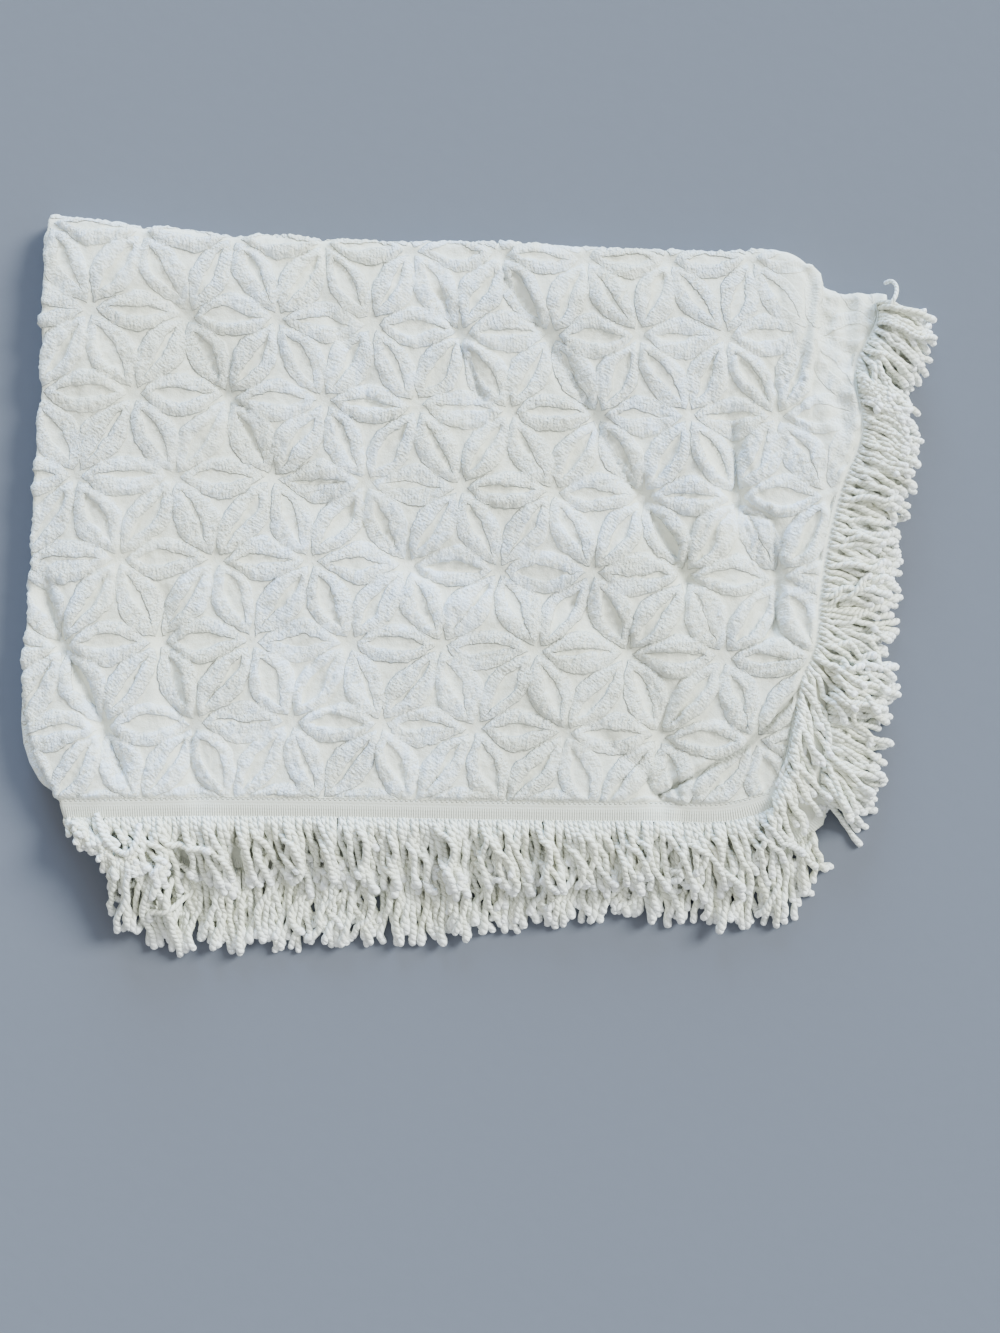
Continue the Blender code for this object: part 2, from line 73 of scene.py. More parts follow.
# outlines of the top layer and of the second one, which reaches further out
leftEdge = [(-0.475, 0.395), (-0.478, 0.310), (-0.482, 0.200), (-0.488, 0.090), (-0.494, -0.020),
            (-0.499, -0.108), (-0.493, -0.163), (-0.478, -0.205), (-0.467, -0.226), (-0.458, -0.246)]
topEdge = [(-0.475, 0.395), (-0.308, 0.376), (-0.143, 0.367), (0.022, 0.364), (0.132, 0.360),
           (0.242, 0.354), (0.355, 0.344), (0.372, 0.326), (0.387, 0.313), (0.437, 0.311)]
rightEdge = [(0.437, 0.311), (0.439, 0.300), (0.414, 0.243), (0.418, 0.160), (0.399, 0.112),
             (0.383, 0.053), (0.372, -0.020), (0.366, -0.074), (0.355, -0.097), (0.344, -0.152),
             (0.335, -0.196), (0.320, -0.236)]
footEdge = [(-0.458, -0.246), (-0.308, -0.244), (-0.143, -0.245), (0.022, -0.248), (0.176, -0.249),
            (0.290, -0.246), (0.320, -0.236)]
secondFoot = [(-0.458, -0.246), (-0.418, -0.268), (-0.363, -0.297), (-0.198, -0.299), (-0.044, -0.290),
              (0.088, -0.275), (0.242, -0.270), (0.345, -0.273), (0.370, -0.262)]
secondRight = [(0.437, 0.311), (0.442, 0.306), (0.425, 0.243), (0.427, 0.160), (0.416, 0.112),
               (0.403, 0.053), (0.394, -0.020), (0.387, -0.086), (0.381, -0.152), (0.376, -0.219),
               (0.370, -0.262)]
lowerShare = [0.0, 0.10, 0.26, 0.44, 0.62, 0.78, 0.90, 0.97, 1.0]
lowerLeft = [0.0, 0.0, 0.0, 0.001, 0.002, -0.003, -0.014, -0.016, -0.012]
lowerRight = [0.0, -0.006, -0.010, -0.010, -0.012, -0.010, -0.012, -0.014, -0.014]


def smooth(t):
    t = np.clip(t, 0.0, 1.0)
    return t * t * (3 - 2 * t)


def readSmooth(xs, ys, at):
    # a smooth curve through a short table
    xs, ys = np.asarray(xs, float), np.asarray(ys, float)
    slope = np.gradient(ys, xs)
    at = np.clip(at, xs[0], xs[-1])
    k = np.clip(np.searchsorted(xs, at, side="right") - 1, 0, len(xs) - 2)
    step = xs[k + 1] - xs[k]
    t = (at - xs[k]) / step
    near = (1 + 2 * t) * (1 - t) ** 2 * ys[k] + t * (1 - t) ** 2 * step * slope[k]
    return near + t * t * (3 - 2 * t) * ys[k + 1] + t * t * (t - 1) * step * slope[k + 1]


def alongEdge(edge, share):
    edge = np.array(edge)
    run = np.r_[0, np.cumsum(np.hypot(*np.diff(edge, axis=0).T))]
    return readSmooth(run / run[-1], edge[:, 0], share), readSmooth(run / run[-1], edge[:, 1], share)


def tableOf(edge, swap=False):
    rows = sorted((y, x) if swap else (x, y) for x, y in edge)
    return np.array(rows).T


rightTable = tableOf(rightEdge, True)
footTable = tableOf(footEdge)
secondTable = tableOf(secondFoot)


def ripple(x, y, scale, seed, count=6):
    # smooth uneven numbers between about -1 and 1
    dice = np.random.default_rng(seed)
    total = 0
    for k in range(count):
        turn = 2 * math.pi * (k + dice.random()) / count
        rate = 2 * math.pi / scale * (0.7 + 0.6 * dice.random())
        total = total + np.sin(rate * (x * math.cos(turn) + y * math.sin(turn)) + 6.3 * dice.random())
    return total / math.sqrt(count / 2) / 1.7


def pastFoot(x, y):
    return np.maximum(0, np.interp(x, *footTable) - y)


def heightShare(x, y):
    # gentle rise and fall of the whole stack, lower under the right end of the top fold
    wave = np.sin(5.3 * x + 3.1 * y + 0.6) + 0.7 * np.sin(8.7 * y - 3.3 * x + 2.0)
    share = 1 + 0.028 * wave
    share = share * (1 - 0.20 * smooth((x - 0.345) / 0.045) * smooth((y - 0.205) / 0.085))
    out = np.maximum(0, x - np.interp(y, *rightTable))
    return share * (1 - fold["sideFall"] * smooth(out / fold["sideReach"]))


def sinkShare(z):
    # how much of a valley reaches a point at this height
    return (np.maximum(z, 0) / fold["top"]) ** 1.5


def nearLine(points, x, y):
    best = np.full_like(x, 9.0)
    for (ax, ay), (bx, by) in zip(points, points[1:]):
        dx, dy = bx - ax, by - ay
        k = np.clip(((x - ax) * dx + (y - ay) * dy) / (dx * dx + dy * dy), 0, 1)
        best = np.minimum(best, np.hypot(x - ax - dx * k, y - ay - dy * k))
    return best


# lines on the face that a valley and a trough share
diagonal = [(0.030, 0.329), (0.074, 0.266), (0.110, 0.206), (0.143, 0.145), (0.176, 0.094), (0.228, 0.002)]
hollow = [(0.279, 0.170), (0.284, 0.088), (0.292, 0.076), (0.322, 0.070), (0.327, 0.004), (0.326, -0.050)]
cornerCrease = [(0.3795, -0.0913), (0.2904, -0.1837), (0.198, -0.2343)]
leftCrease = [(-0.462, -0.064), (-0.440, -0.108), (-0.418, -0.152), (-0.396, -0.207)]

# broad soft valleys that the whole stack sinks into, or swellings where the
# drop is negative: drop, half width, points
valleys = [
    (0.0076, 0.022, diagonal),
    (0.0070, 0.032, [(0.272, 0.180), (0.270, 0.110), (0.292, 0.063), (0.310, 0.013), (0.316, -0.045)]),
    (0.0052, 0.015, hollow),
    (0.0080, 0.040, [(-0.341, 0.310), (-0.292, 0.222), (-0.231, 0.123), (-0.154, 0.085), (-0.077, 0.024),
                     (0.011, 0.002), (0.099, -0.020), (0.143, -0.053), (0.176, -0.086), (0.198, -0.141),
                     (0.204, -0.229)]),
    (0.0100, 0.018, [(-0.479, -0.009), *leftCrease]),
    (0.0034, 0.007, cornerCrease),
    (-0.0022, 0.008, [(0.372, -0.0845), (0.2835, -0.1765), (0.193, -0.2265)]),
    (0.0075, 0.024, [(-0.347, -0.020), (-0.341, -0.119), (-0.308, -0.229)]),
    (0.0064, 0.017, [(-0.044, 0.310), (-0.017, 0.250), (-0.002, 0.206)]),
    (0.0046, 0.018, [(0.120, -0.160), (0.176, -0.205), (0.205, -0.240)]),
    (0.0042, 0.020, [(-0.180, 0.320), (-0.140, 0.250), (-0.120, 0.200)]),
    (-0.0034, 0.034, [(0.000, 0.140), (0.060, 0.070), (0.150, 0.030)]),
    (-0.0036, 0.036, [(0.200, 0.250), (0.236, 0.150), (0.258, 0.060)]),
    (-0.0026, 0.040, [(-0.425, 0.250), (-0.415, 0.100), (-0.400, -0.050)]),
    (-0.0040, 0.030, [(0.060, -0.110), (0.110, -0.170)]),
    (-0.0030, 0.030, [(-0.210, -0.020), (-0.150, -0.110), (-0.100, -0.190)]),
]
topRoll = {"drop": 0.0065, "reach": 0.055}     # the face rolls down to the top fold
leftRoll = {"drop": 0.0060, "reach": 0.050}    # and to the left fold
topTable, leftTable = tableOf(topEdge), tableOf(leftEdge, True)
# the pale ridge at the right end of the top fold, and the step down past it
ridge = {"line": [(0.360, 0.348), (0.3705, 0.338), (0.3715, 0.330), (0.366, 0.277), (0.3575, 0.223)],
         "rise": 0.0056, "half": 0.0050, "drop": 0.0062,
         "groove": 0.0026, "grooveHalf": 0.007, "aside": 0.0095}      # the groove to its left
cornerStep = 0.0042      # how far the face lies lower below the slanting crease


def swell(x, y):
    total = -topRoll["drop"] * smooth((y - np.interp(x, *topTable)) / topRoll["reach"] + 1)
    for drop, half, points in valleys:
        near = nearLine(points, x, y) / half
        total = total - drop * (0.65 * smooth(1 - near) + 0.35 * np.clip(1 - near, 0, 1) ** 2)
    aside = (x - 0.2904) * 0.66 - (y + 0.1837) * 0.75
    corner = smooth(aside / 0.008 + 0.4) * smooth((x - 0.195) / 0.03) * smooth((0.42 - x) / 0.04)
    past = x - np.interp(y, [0.223, 0.277, 0.335], [0.3585, 0.3665, 0.3720])
    strip = smooth(past / 0.008) * smooth((y - 0.17) / 0.06)
    total = total - leftRoll["drop"] * smooth(1 - (x - np.interp(y, *leftTable)) / leftRoll["reach"])
    return total - cornerStep * corner - ridge["drop"] * strip


def planPoint(a, b):
    # the top layer's outline filled in between its four edges
    left, right = alongEdge(leftEdge, b), alongEdge(rightEdge, b)
    top, foot = alongEdge(topEdge, a), alongEdge(footEdge, a)
    spot = []
    for k in (0, 1):
        flat = (1 - a) * left[k] + a * right[k] + (1 - b) * top[k] + b * foot[k]
        flat = flat - (1 - a) * ((1 - b) * leftEdge[0][k] + b * footEdge[0][k])
        flat = flat - a * ((1 - b) * rightEdge[0][k] + b * footEdge[-1][k])
        spot.append(flat)
    return spot


def layRow(m, b, turn, a, roll):
    # one row of the folded sheet: section m, share b down it, turn of the fold
    # at its end; a is the share across and roll goes round the left fold.
    # Returns the place and the place on the unfolded face.
    p = fold["pitch"]
    h = p / 2 * np.sin(np.radians(roll))
    outer = roll > -89
    x, y = planPoint(a, b)
    flatX = x - (p + fold["thick"]) / 2 * np.radians(90 - roll)
    side = np.interp(a, [0, 0.875, 0.95, 1], [0, 0, 0.35, 1])
    end = np.interp(b, [0, 0.90, 0.97, 1], [0, 0, 0.40, 1])
    if m == 0:
        reach = alongEdge(secondRight, b)[0] - alongEdge(rightEdge, b)[0]
        x = x + np.where(outer, 0, side * reach)
        fall = np.minimum(0, readSmooth(*secondTable, x) - np.interp(x, *footTable))
        y = y + np.where(outer, 0, end * fall)
    else:
        x = x + readSmooth(lowerShare, lowerLeft, b) * (1 - a) ** 6
        right = readSmooth(lowerShare, lowerRight, b) * (0.8 if m == 3 else 1)
        if m > 1:
            right = right - 0.008 * smooth(1 - 3 * b)
        right = right + np.where(outer, 0, 0.005 * (smooth(4 * b) if m == 1 else 1))
        x, y = x + side * right, y + end * 0.016
    flatY = y + 0 * x
    x = x - p / 2 * np.cos(np.radians(roll))
    middle, phi = (7 - 2 * m) * p, math.radians(turn)
    lift = p + h if m % 2 == 0 else p - h
    z = middle - p + lift * math.cos(phi)
    y = y + lift * math.sin(phi) * (1 if m % 2 == 0 else -1)
    flatY = flatY + (lift + fold["thick"] / 2) * phi
    z = fold["thick"] / 2 + (z - p / 2) * heightShare(x, y)
    z = z + swell(x, np.minimum(y, flatY)) * sinkShare(z)
    if m == 0 and turn == 0:
        z = z - fold["secondFall"] * pastFoot(x, y) * np.maximum(0, -np.sin(np.radians(roll)))
    return np.stack([x, y, z], axis=-1), flatX, flatY


# the pattern
flower = {
    # lattice numbers over the cloth: (power of x, power of y, column, row)
    "lattice": [(0, 0, 4.318, 3.17), (0, 1, -1.193, -11.44), (0, 2, 2.587, -0.347), (0, 3, 1.142, 0.28),
                (1, 0, 9.671, -0.536), (1, 1, 0.47, -0.137), (1, 2, 5.729, -0.485), (2, 0, 0.09, 0.02),
                (2, 1, 2.805, 2.883), (3, 0, -0.54, 1.678)],
    "long": 0.432,        # half length of a petal, in flower spacings
    "wide": 0.226,        # half width
    "slotLong": 0.300,    # the bare slot down its middle
    "slotWide": 0.060,
    "rise": 0.0032,       # height of the pile
    "wall": 0.016,        # how quickly it rises
    "dimple": 0.0018,     # how far the flower centres are drawn down
    "hub": 0.17,          # and how wide, in flower spacings
    "least": -0.0021,     # never through the back of the sheet
}
rowStep = math.sqrt(0.75)

# soft troughs pressed into the face, with painted shade along them: (depth, drop, half width, points)
troughs = [
    (0.22, 0.0012, 0.007, diagonal),
    (0.18, 0.0012, 0.008, [(-0.483, 0.025), *leftCrease]),
    (0.95, 0.0016, 0.005, cornerCrease),
    (0.40, 0.0014, 0.005, hollow),
    (0.34, 0.0010, 0.005, [(0.322, 0.070), (0.300, 0.110), (0.288, 0.150)]),
    (0.55, 0.0010, 0.005, [(-0.011, 0.244), (-0.002, 0.215), (0.004, 0.200)]),
    (0.20, 0.0016, 0.005, [(0.328, 0.342), (0.332, 0.292), (0.354, 0.250)]),
]
# the crumpled margin, right of which the cloth is plain
margin = {"y": [-0.20, -0.09, -0.02, 0.09, 0.18, 0.223, 0.277, 0.335],
          "x": [0.335, 0.360, 0.366, 0.371, 0.366, 0.355, 0.343, 0.332]}


def latticeAt(x, y):
    column = row = 0.0
    for px, py, c, r in flower["lattice"]:
        term = x ** px * y ** py
        column, row = column + c * term, row + r * term
    u = column + 0.020 * ripple(x, y, 0.060, 3) + 0.007 * ripple(x, y, 0.019, 31)
    v = row * rowStep + 0.020 * ripple(x, y, 0.060, 4) + 0.007 * ripple(x, y, 0.019, 41)
    return u, v


def varyAt(x, y):
    # how much wider a petal and its slot are here, and how plain the cloth is
    wide = 1 + 0.08 * ripple(x, y, 0.095, 11)
    slot = np.clip(0.85 + 0.65 * ripple(x, y, 0.085, 12), 0.05, 2.2)
    line = np.interp(y, margin["y"], margin["x"])
    calm = smooth((x - line + 0.002) / 0.010)
    return wide, slot, calm


def bandAt(u, v, wide, slot):
    # 1 on the tufted bands of the nearest petal and 0 on bare cloth
    best, hub = np.zeros_like(u), np.full_like(u, 9.0)
    wall = flower["wall"]
    for turn in (0, 60, 120):
        c, s = math.cos(math.radians(turn)), math.sin(math.radians(turn))
        e, n = c * u + s * v - 0.5, c * v - s * u
        j = np.round(n / rowStep)
        n, e = n - j * rowStep, e - 0.5 * j
        e = e - np.round(e)
        edge = flower["wide"] * wide * (1 - (e / flower["long"]) ** 2) - abs(n)
        gap = flower["slotWide"] * slot * (1 - (e / flower["slotLong"]) ** 2) - abs(n)
        body = smooth(edge / (2.6 * wall)) * (0.82 + 0.18 * smooth(edge / (7 * wall)))
        body = body * (1 - 0.85 * smooth(gap / wall / 1.6 + 0.6))
        best = np.maximum(best, body)
        hub = np.minimum(hub, np.hypot(0.5 - abs(e), n))
    return best, hub


def faceRise(x, y):
    u, v = latticeAt(x, y)
    wide, slot, calm = varyAt(x, y)
    uneven = 0.95 + 0.50 * ripple(x, y, 0.12, 5) + 0.35 * smooth((x - 0.05) / 0.2) * smooth((0.25 - y) / 0.2)
    band, hub = bandAt(u, v, wide, slot)
    rise = flower["rise"] * band * uneven * (1 - 0.72 * calm)
    rise = rise - flower["dimple"] * (1 - calm) * smooth(1 - hub / flower["hub"])
    rise = rise + 0.0007 * ripple(x, y, 0.0080, 6) * (band > 0.2) + 0.0005 * ripple(x, y, 0.024, 61)
    # how much painted shade each trough puts into its crease
    creaseShade = np.zeros_like(x)
    for depth, drop, half, points in troughs:
        away = nearLine(points, x, y)
        press = smooth(1 - away / half)
        rise = rise * (1 - depth * press) - drop * press
        creaseShade = np.maximum(creaseShade, depth * smooth(1.8 * (1 - away / (half + 0.001))))
    crumple = 0.0012 + 0.0030 * ripple(x * 1.7, y * 0.8, 0.050, 9) + 0.0010 * ripple(x, y, 0.021, 10)
    rise = rise + calm * crumple
    fine = ripple(x, y, 0.0074, 71) + 0.8 * ripple(x, y, 0.0098, 72)
    rise = rise + (0.0003 + 0.0003 * band) * (1 - 0.6 * calm) * fine + 0.0009 * ripple(x, y, 0.11, 8)
    # a smooth tapering pleat to the left of the ridge
    pleatLeft = np.interp(y, [0.236, 0.250, 0.292, 0.342], [0.364, 0.355, 0.333, 0.329])
    pleatRight = np.interp(y, [0.228, 0.277, 0.336], [0.362, 0.366, 0.372])
    pleat = smooth((x - pleatLeft) / 0.005 + 0.5) * smooth((pleatRight - x) / 0.004 + 0.5)
    pleat = pleat * smooth((y - 0.232) / 0.01)
    rise = rise * (1 - pleat) + pleat * (0.0022 - 0.0010 * smooth(1 - (x - pleatLeft) / 0.010))
    calm = np.maximum(calm, pleat)
    rise = rise + ridge["rise"] * smooth(1 - nearLine(ridge["line"], x, y) / ridge["half"])
    beside = [(px - ridge["aside"], py) for px, py in ridge["line"]]
    rise = rise - ridge["groove"] * smooth(1 - nearLine(beside, x, y) / ridge["grooveHalf"])
    rise = np.maximum(rise, flower["least"])
    return rise, u, v, np.stack([wide, slot, calm], axis=-1), creaseShade


def addObject(name, data):
    made = bpy.data.objects.new(name, data)
    bpy.context.scene.collection.objects.link(made)
    return made


def addValues(piece, name, values):
    # a number or a vector on every point
    kind, field = ("FLOAT_VECTOR", "vector") if np.ndim(values) == 2 else ("FLOAT", "value")
    made = piece.data.attributes.new(name, kind, "POINT")
    made.data.foreach_set(field, np.asarray(values, dtype=np.float32).ravel())


class Skin:
    # points and faces gathered before a mesh is made
    def __init__(self):
        self.points, self.faces = [], []

    def grid(self, places):
        start = len(self.points)
        rows, cols = places.shape[:2]
        self.points += [tuple(p) for p in places.reshape(-1, 3)]
        return np.arange(start, start + rows * cols).reshape(rows, cols)

    def skinGrid(self, ids, flip=False, keep=None):
        a, b, c, d = ids[:-1, :-1], ids[:-1, 1:], ids[1:, 1:], ids[1:, :-1]
        quads = np.stack([a, d, c, b] if flip else [a, b, c, d], axis=-1)
        quads = quads[keep] if keep is not None else quads.reshape(-1, 4)
        self.faces += [tuple(q) for q in quads.tolist()]

    def face(self, *ids):
        self.faces.append(tuple(int(i) for i in ids))

    def stitch(self, first, second):
        # triangles between two runs of (share, point), first on the left
        i = j = 0
        while i < len(first) - 1 or j < len(second) - 1:
            go = j == len(second) - 1
            if not go and i < len(first) - 1:
                go = first[i + 1][0] <= second[j + 1][0]
            self.face(first[i][1], second[j][1], (first[i + 1] if go else second[j + 1])[1])
            i, j = (i + 1, j) if go else (i, j + 1)

    def make(self, name, material, slot):
        mesh = bpy.data.meshes.new(name)
        move = np.array([*fold["move"], 0.0])
        points = np.array(self.points) + move
        points[:, 2] = np.maximum(points[:, 2], 0.0)
        mesh.from_pydata(points.tolist(), [], self.faces)
        mesh.update()
        mesh.shade_smooth()
        piece = addObject(name, mesh)
        mesh.materials.append(material)
        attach(piece, "root")
        print("made", name, len(mesh.vertices), "points", len(mesh.polygons), "faces")
        return piece


def unit(vectors):
    return vectors / np.linalg.norm(vectors, axis=-1, keepdims=True)


def normalsOf(places):
    return unit(np.cross(np.gradient(places, axis=1), np.gradient(places, axis=0)))


def runAlong(points):
    # distance along a line at each of its points
    return np.r_[0, np.cumsum(np.linalg.norm(np.diff(points, axis=0), axis=1))]


# materials
class Wire:
    # a socket that can stand in sums
    def __init__(self, kit, socket):
        self.kit, self.socket = kit, socket

    def __add__(self, other):
        return self.kit.sum("ADD", self, other)

    def __sub__(self, other):
        return self.kit.sum("SUBTRACT", self, other)

    def __rsub__(self, other):
        return self.kit.sum("SUBTRACT", other, self)

    def __mul__(self, other):
        return self.kit.sum("MULTIPLY", self, other)

    def __truediv__(self, other):
        return self.kit.sum("DIVIDE", self, other)

    def __pow__(self, other):
        return self.kit.sum("POWER", self, other)

    def __abs__(self):
        return self.kit.sum("ABSOLUTE", self)

    __radd__ = __add__
    __rmul__ = __mul__


class NodeKit:
    # a material and its nodes
    def __init__(self, name):
        self.material = bpy.data.materials.new(name)
        self.material.use_nodes = True
        self.tree = self.material.node_tree
        self.surface = self.tree.nodes["Principled BSDF"]

    def node(self, kind, settings=None, inputs=None, output=0):
        made = self.tree.nodes.new(kind)
        for key, value in (settings or {}).items():
            if key == "stops":
                ramp = made.color_ramp
                while len(ramp.elements) < len(value):
                    ramp.elements.new(0.5)
                for element, (place, colour) in zip(ramp.elements, value):
                    element.position, element.color = place, colour
            else:
                setattr(made, key, value)
        for key, value in (inputs or {}).items():
            self.feed(made.inputs[key], value)
        return Wire(self, made.outputs[output])

    def feed(self, socket, value):
        if isinstance(value, Wire):
            self.tree.links.new(value.socket, socket)
        else:
            socket.default_value = value

    def sum(self, operation, *values):
        return self.node("ShaderNodeMath", {"operation": operation}, dict(enumerate(values)))

    def step(self, value, low, high):
        # 0 below low and 1 above high, smooth between
        return self.node("ShaderNodeMapRange", {"interpolation_type": "SMOOTHSTEP"},
                         {"Value": value, "From Min": low, "From Max": high})

    def mix(self, share, first, second):
        return self.node("ShaderNodeMix", {"data_type": "RGBA"}, {0: share, 6: first, 7: second}, 2)

    def place(self):
        return self.node("ShaderNodeTexCoord", output=3)

    def held(self, name, output=2):
        # what the points hold under a name: output 2 for a number, 1 for a vector
        return self.node("ShaderNodeAttribute", {"attribute_name": name}, output=output)

    def part(self, vector, which):
        return self.node("ShaderNodeSeparateXYZ", {}, {0: vector}, which)

    def noise(self, scale, detail=2.0, where=None, rough=0.5):
        where = where or self.place()
        return self.node("ShaderNodeTexNoise", {}, {"Vector": where, "Scale": scale, "Detail": detail,
                                                    "Roughness": rough})

    def finish(self, colour, rough, height, distance, sheen=0.0):
        bump = self.node("ShaderNodeBump", {}, {"Height": height, "Distance": distance})
        self.feed(self.surface.inputs["Base Color"], colour)
        self.feed(self.surface.inputs["Roughness"], rough)
        self.feed(self.surface.inputs["Normal"], bump)
        self.surface.inputs["Sheen Weight"].default_value = sheen
        self.surface.inputs["Sheen Roughness"].default_value = 0.5
        self.surface.inputs["Specular IOR Level"].default_value = 0.15
        return self.material


chenille = {
    "bare": (0.80, 0.80, 0.71, 1),       # the ground cloth between the tufts
    "pile": (0.80, 0.845, 0.87, 1),      # tufts, a little cooler
    "blue": (0.74, 0.84, 0.98, 1),
    "warm": (0.78, 0.765, 0.63, 1),
    "shade": (0.52, 0.52, 0.46, 1),      # painted shade down in the grooves
    "creaseShade": (0.34, 0.34, 0.29, 1),       # painted shade in a sharp crease
    "worn": (0.70, 0.69, 0.59, 1),       # broad dull areas
    "tuft": 270.0,                       # tufts a metre
    "bump": 0.0030,
}


def chenilleMaterial():
    kit = NodeKit("chenille")
    place = kit.place()
    spot = kit.held("flower", 1)
    u = kit.part(spot, 0)
    v = kit.part(spot, 1)
    face = kit.part(spot, 2)
    vary = kit.held("vary", 1)
    wide = kit.part(vary, 0) * flower["wide"]
    slotWide = kit.part(vary, 1) * flower["slotWide"]
    calm = kit.part(vary, 2)
    u = u + (kit.noise(170, 1, place) - 0.5) * 0.030
    v = v + (kit.noise(190, 1, place) - 0.5) * 0.030
    body = groove = comb = None
    wall = flower["wall"]
    for turn in (0, 60, 120):
        c, s = math.cos(math.radians(turn)), math.sin(math.radians(turn))
        e, n = u * c + v * s - 0.5, v * c - u * s
        j = kit.sum("ROUND", n / rowStep)
        n, e = abs(n - j * rowStep), e - j * 0.5
        e = e - kit.sum("ROUND", e)
        edge = (1 - (e / flower["long"]) ** 2) * wide - n
        slot = (1 - (e / flower["slotLong"]) ** 2) * slotWide - n
        inside = kit.step(edge, -0.3 * wall, 0.8 * wall) * (1 - kit.step(slot, -0.6 * wall, 0.4 * wall))
        # painted shade: a thin dark line at the foot of both walls
        line = kit.step(abs(edge + 0.004), 0.016, 0.0) + kit.step(abs(slot), 0.014, 0.0) * 0.7
        rows = kit.sum("SINE", e * (2 * math.pi * 0.1025 * chenille["tuft"])) * inside
        body = inside if body is None else kit.sum("MAXIMUM", body, inside)
        groove = line if groove is None else kit.sum("MAXIMUM", groove, line)
        comb = rows if comb is None else comb + rows
    grain = kit.noise(380, 3, place, 0.65)
    clump = kit.node("ShaderNodeTexVoronoi", {"feature": "SMOOTH_F1"},
                     {"Vector": place, "Scale": chenille["tuft"], "Smoothness": 0.35})
    weave = kit.noise(900, 2, place)
    pile = body * face * (1 - calm * 0.6)
    fluff = kit.noise(150, 3, place, 0.6)
    worn = kit.step(kit.noise(16, 2, place), 0.30, 0.62) * 0.65 + 0.50      # some petals stand out more
    height = pile * worn * (1.15 - clump * 0.38 + comb * 0.05 + (grain - 0.5) * 0.8 + (fluff - 0.5) * 0.6)
    height = height + (1 - pile) * (weave * 0.12 + fluff * 0.45)
    tone = kit.noise(7, 3, place, 0.6)
    cool = kit.noise(75, 2, place)
    colour = kit.mix(pile * kit.step(grain - clump * 0.25, 0.15, 0.55), chenille["bare"], chenille["pile"])
    colour = kit.mix(kit.step(cool, 0.46, 0.64) * pile * 0.62, colour, chenille["blue"])
    colour = kit.mix(kit.step(tone, 0.47, 0.62) * 0.60, colour, chenille["warm"])
    colour = kit.mix(kit.step(kit.noise(2.6, 2, place), 0.47, 0.66) * 0.45, colour, chenille["worn"])
    # painted shade along the creases
    crease = kit.held("furrow")
    # painted shade along the foot of the petal and slot walls
    colour = kit.mix(groove * face * worn * (1 - calm) * 0.18, colour, chenille["shade"])
    colour = kit.mix(crease * 0.75, colour, chenille["creaseShade"])
    return kit.finish(colour, 0.88 + pile * 0.07, height, chenille["bump"], 0.2)


yarn = {
    "colour": (0.87, 0.865, 0.74, 1),
    "light": (0.92, 0.94, 0.90, 1),
    # painted shade down between the two plies
    "deepShade": (0.56, 0.55, 0.43, 1),
    "tip": (0.96, 0.97, 0.98, 1),
    "turn": 0.0150,       # length of one full turn of the two plies
    "bump": 0.0014,
}


def yarnMaterial():
    kit = NodeKit("fringe")
    place = kit.place()
    spot = kit.node("ShaderNodeUVMap", {"uv_map": "twist"})
    around = kit.part(spot, 0)
    along = kit.part(spot, 1)
    tip = kit.held("tip")
    own = kit.held("shade")
    wind = (around - along / yarn["turn"]) * (2 * math.pi)
    ply = abs(kit.sum("COSINE", wind))
    fibre = kit.sum("SINE", (around * 5 + along / yarn["turn"] * 4) * (2 * math.pi))
    fuzz = kit.noise(560, 3, place, 0.65)
    height = ply * 0.9 + fibre * 0.05 + fuzz * 0.8
    colour = kit.mix(own, yarn["colour"], yarn["light"])
    # painted shade where the plies meet
    colour = kit.mix(kit.step(ply, 0.45, 0.0) * 0.75, colour, yarn["deepShade"])
    colour = kit.mix(tip, colour, yarn["tip"])
    return kit.finish(colour, 0.80 + fuzz * 0.15, height, yarn["bump"], 0.15)


heading = {
    "colour": (0.83, 0.84, 0.76, 1),
    # painted shade between the ribs and in the seam
    "deepShade": (0.68, 0.67, 0.58, 1),
    "rib": 0.0026,       # spacing of the ribs along it
    "bar": 0.0037,       # of the bars across it
    "stitch": 0.0056,    # and of the stitches
    "seam": 0.0018,      # where they run, from the inner edge
    "lap": 0.0075,       # how far it laps onto the cloth
    "bump": 0.0009,
}


def headingMaterial():
    kit = NodeKit("heading")
    side = kit.held("side")
    place = kit.place()
    spot = kit.node("ShaderNodeUVMap", {"uv_map": "run"})
    along = kit.part(spot, 0)
    across = kit.part(spot, 1)
    rib = kit.sum("SINE", along * (2 * math.pi / heading["rib"])) * 0.5 + 0.5
    bar = kit.sum("SINE", across * (2 * math.pi / heading["bar"])) * 0.5 + 0.5
    fuzz = kit.noise(700, 2, place, 0.6)
    seam = kit.step(abs(across - heading["seam"]), 0.0013, 0.0005)
    stitch = kit.step(kit.sum("SINE", along * (2 * math.pi / heading["stitch"])), -0.2, 0.5)
    rib = rib * kit.step(across, 0.006, 0.013)
    height = (rib * 0.7 + bar * 0.15) * (1 - side * 0.7) + fuzz * 0.5 + seam * (stitch * 2.4 - 0.6)
    # painted shade between the ribs, lighter on the sides where the ribs are flatter
    colour = kit.mix(rib * 0.6 + 0.3 + side * 0.4, heading["deepShade"], heading["colour"])
    # painted shade in the seam where it sinks between stitches
    colour = kit.mix(seam * (1 - stitch) * 0.7, colour, heading["deepShade"])
    return kit.finish(colour, 0.9, height, heading["bump"], 0.1)


chenilleLook, yarnLook, headingLook = chenilleMaterial(), yarnMaterial(), headingMaterial()
print("materials made")

# the cloth
cloth = {
    "cell": 0.0028,      # facets of the tufted face
    "coarse": 34,                                 # steps across a plain layer
    "coarseDown": 26,                             # and down it
    "foldSteps": 8,
    "apart": 0.0012,                              # least space under the face
}
half = fold["thick"] / 2

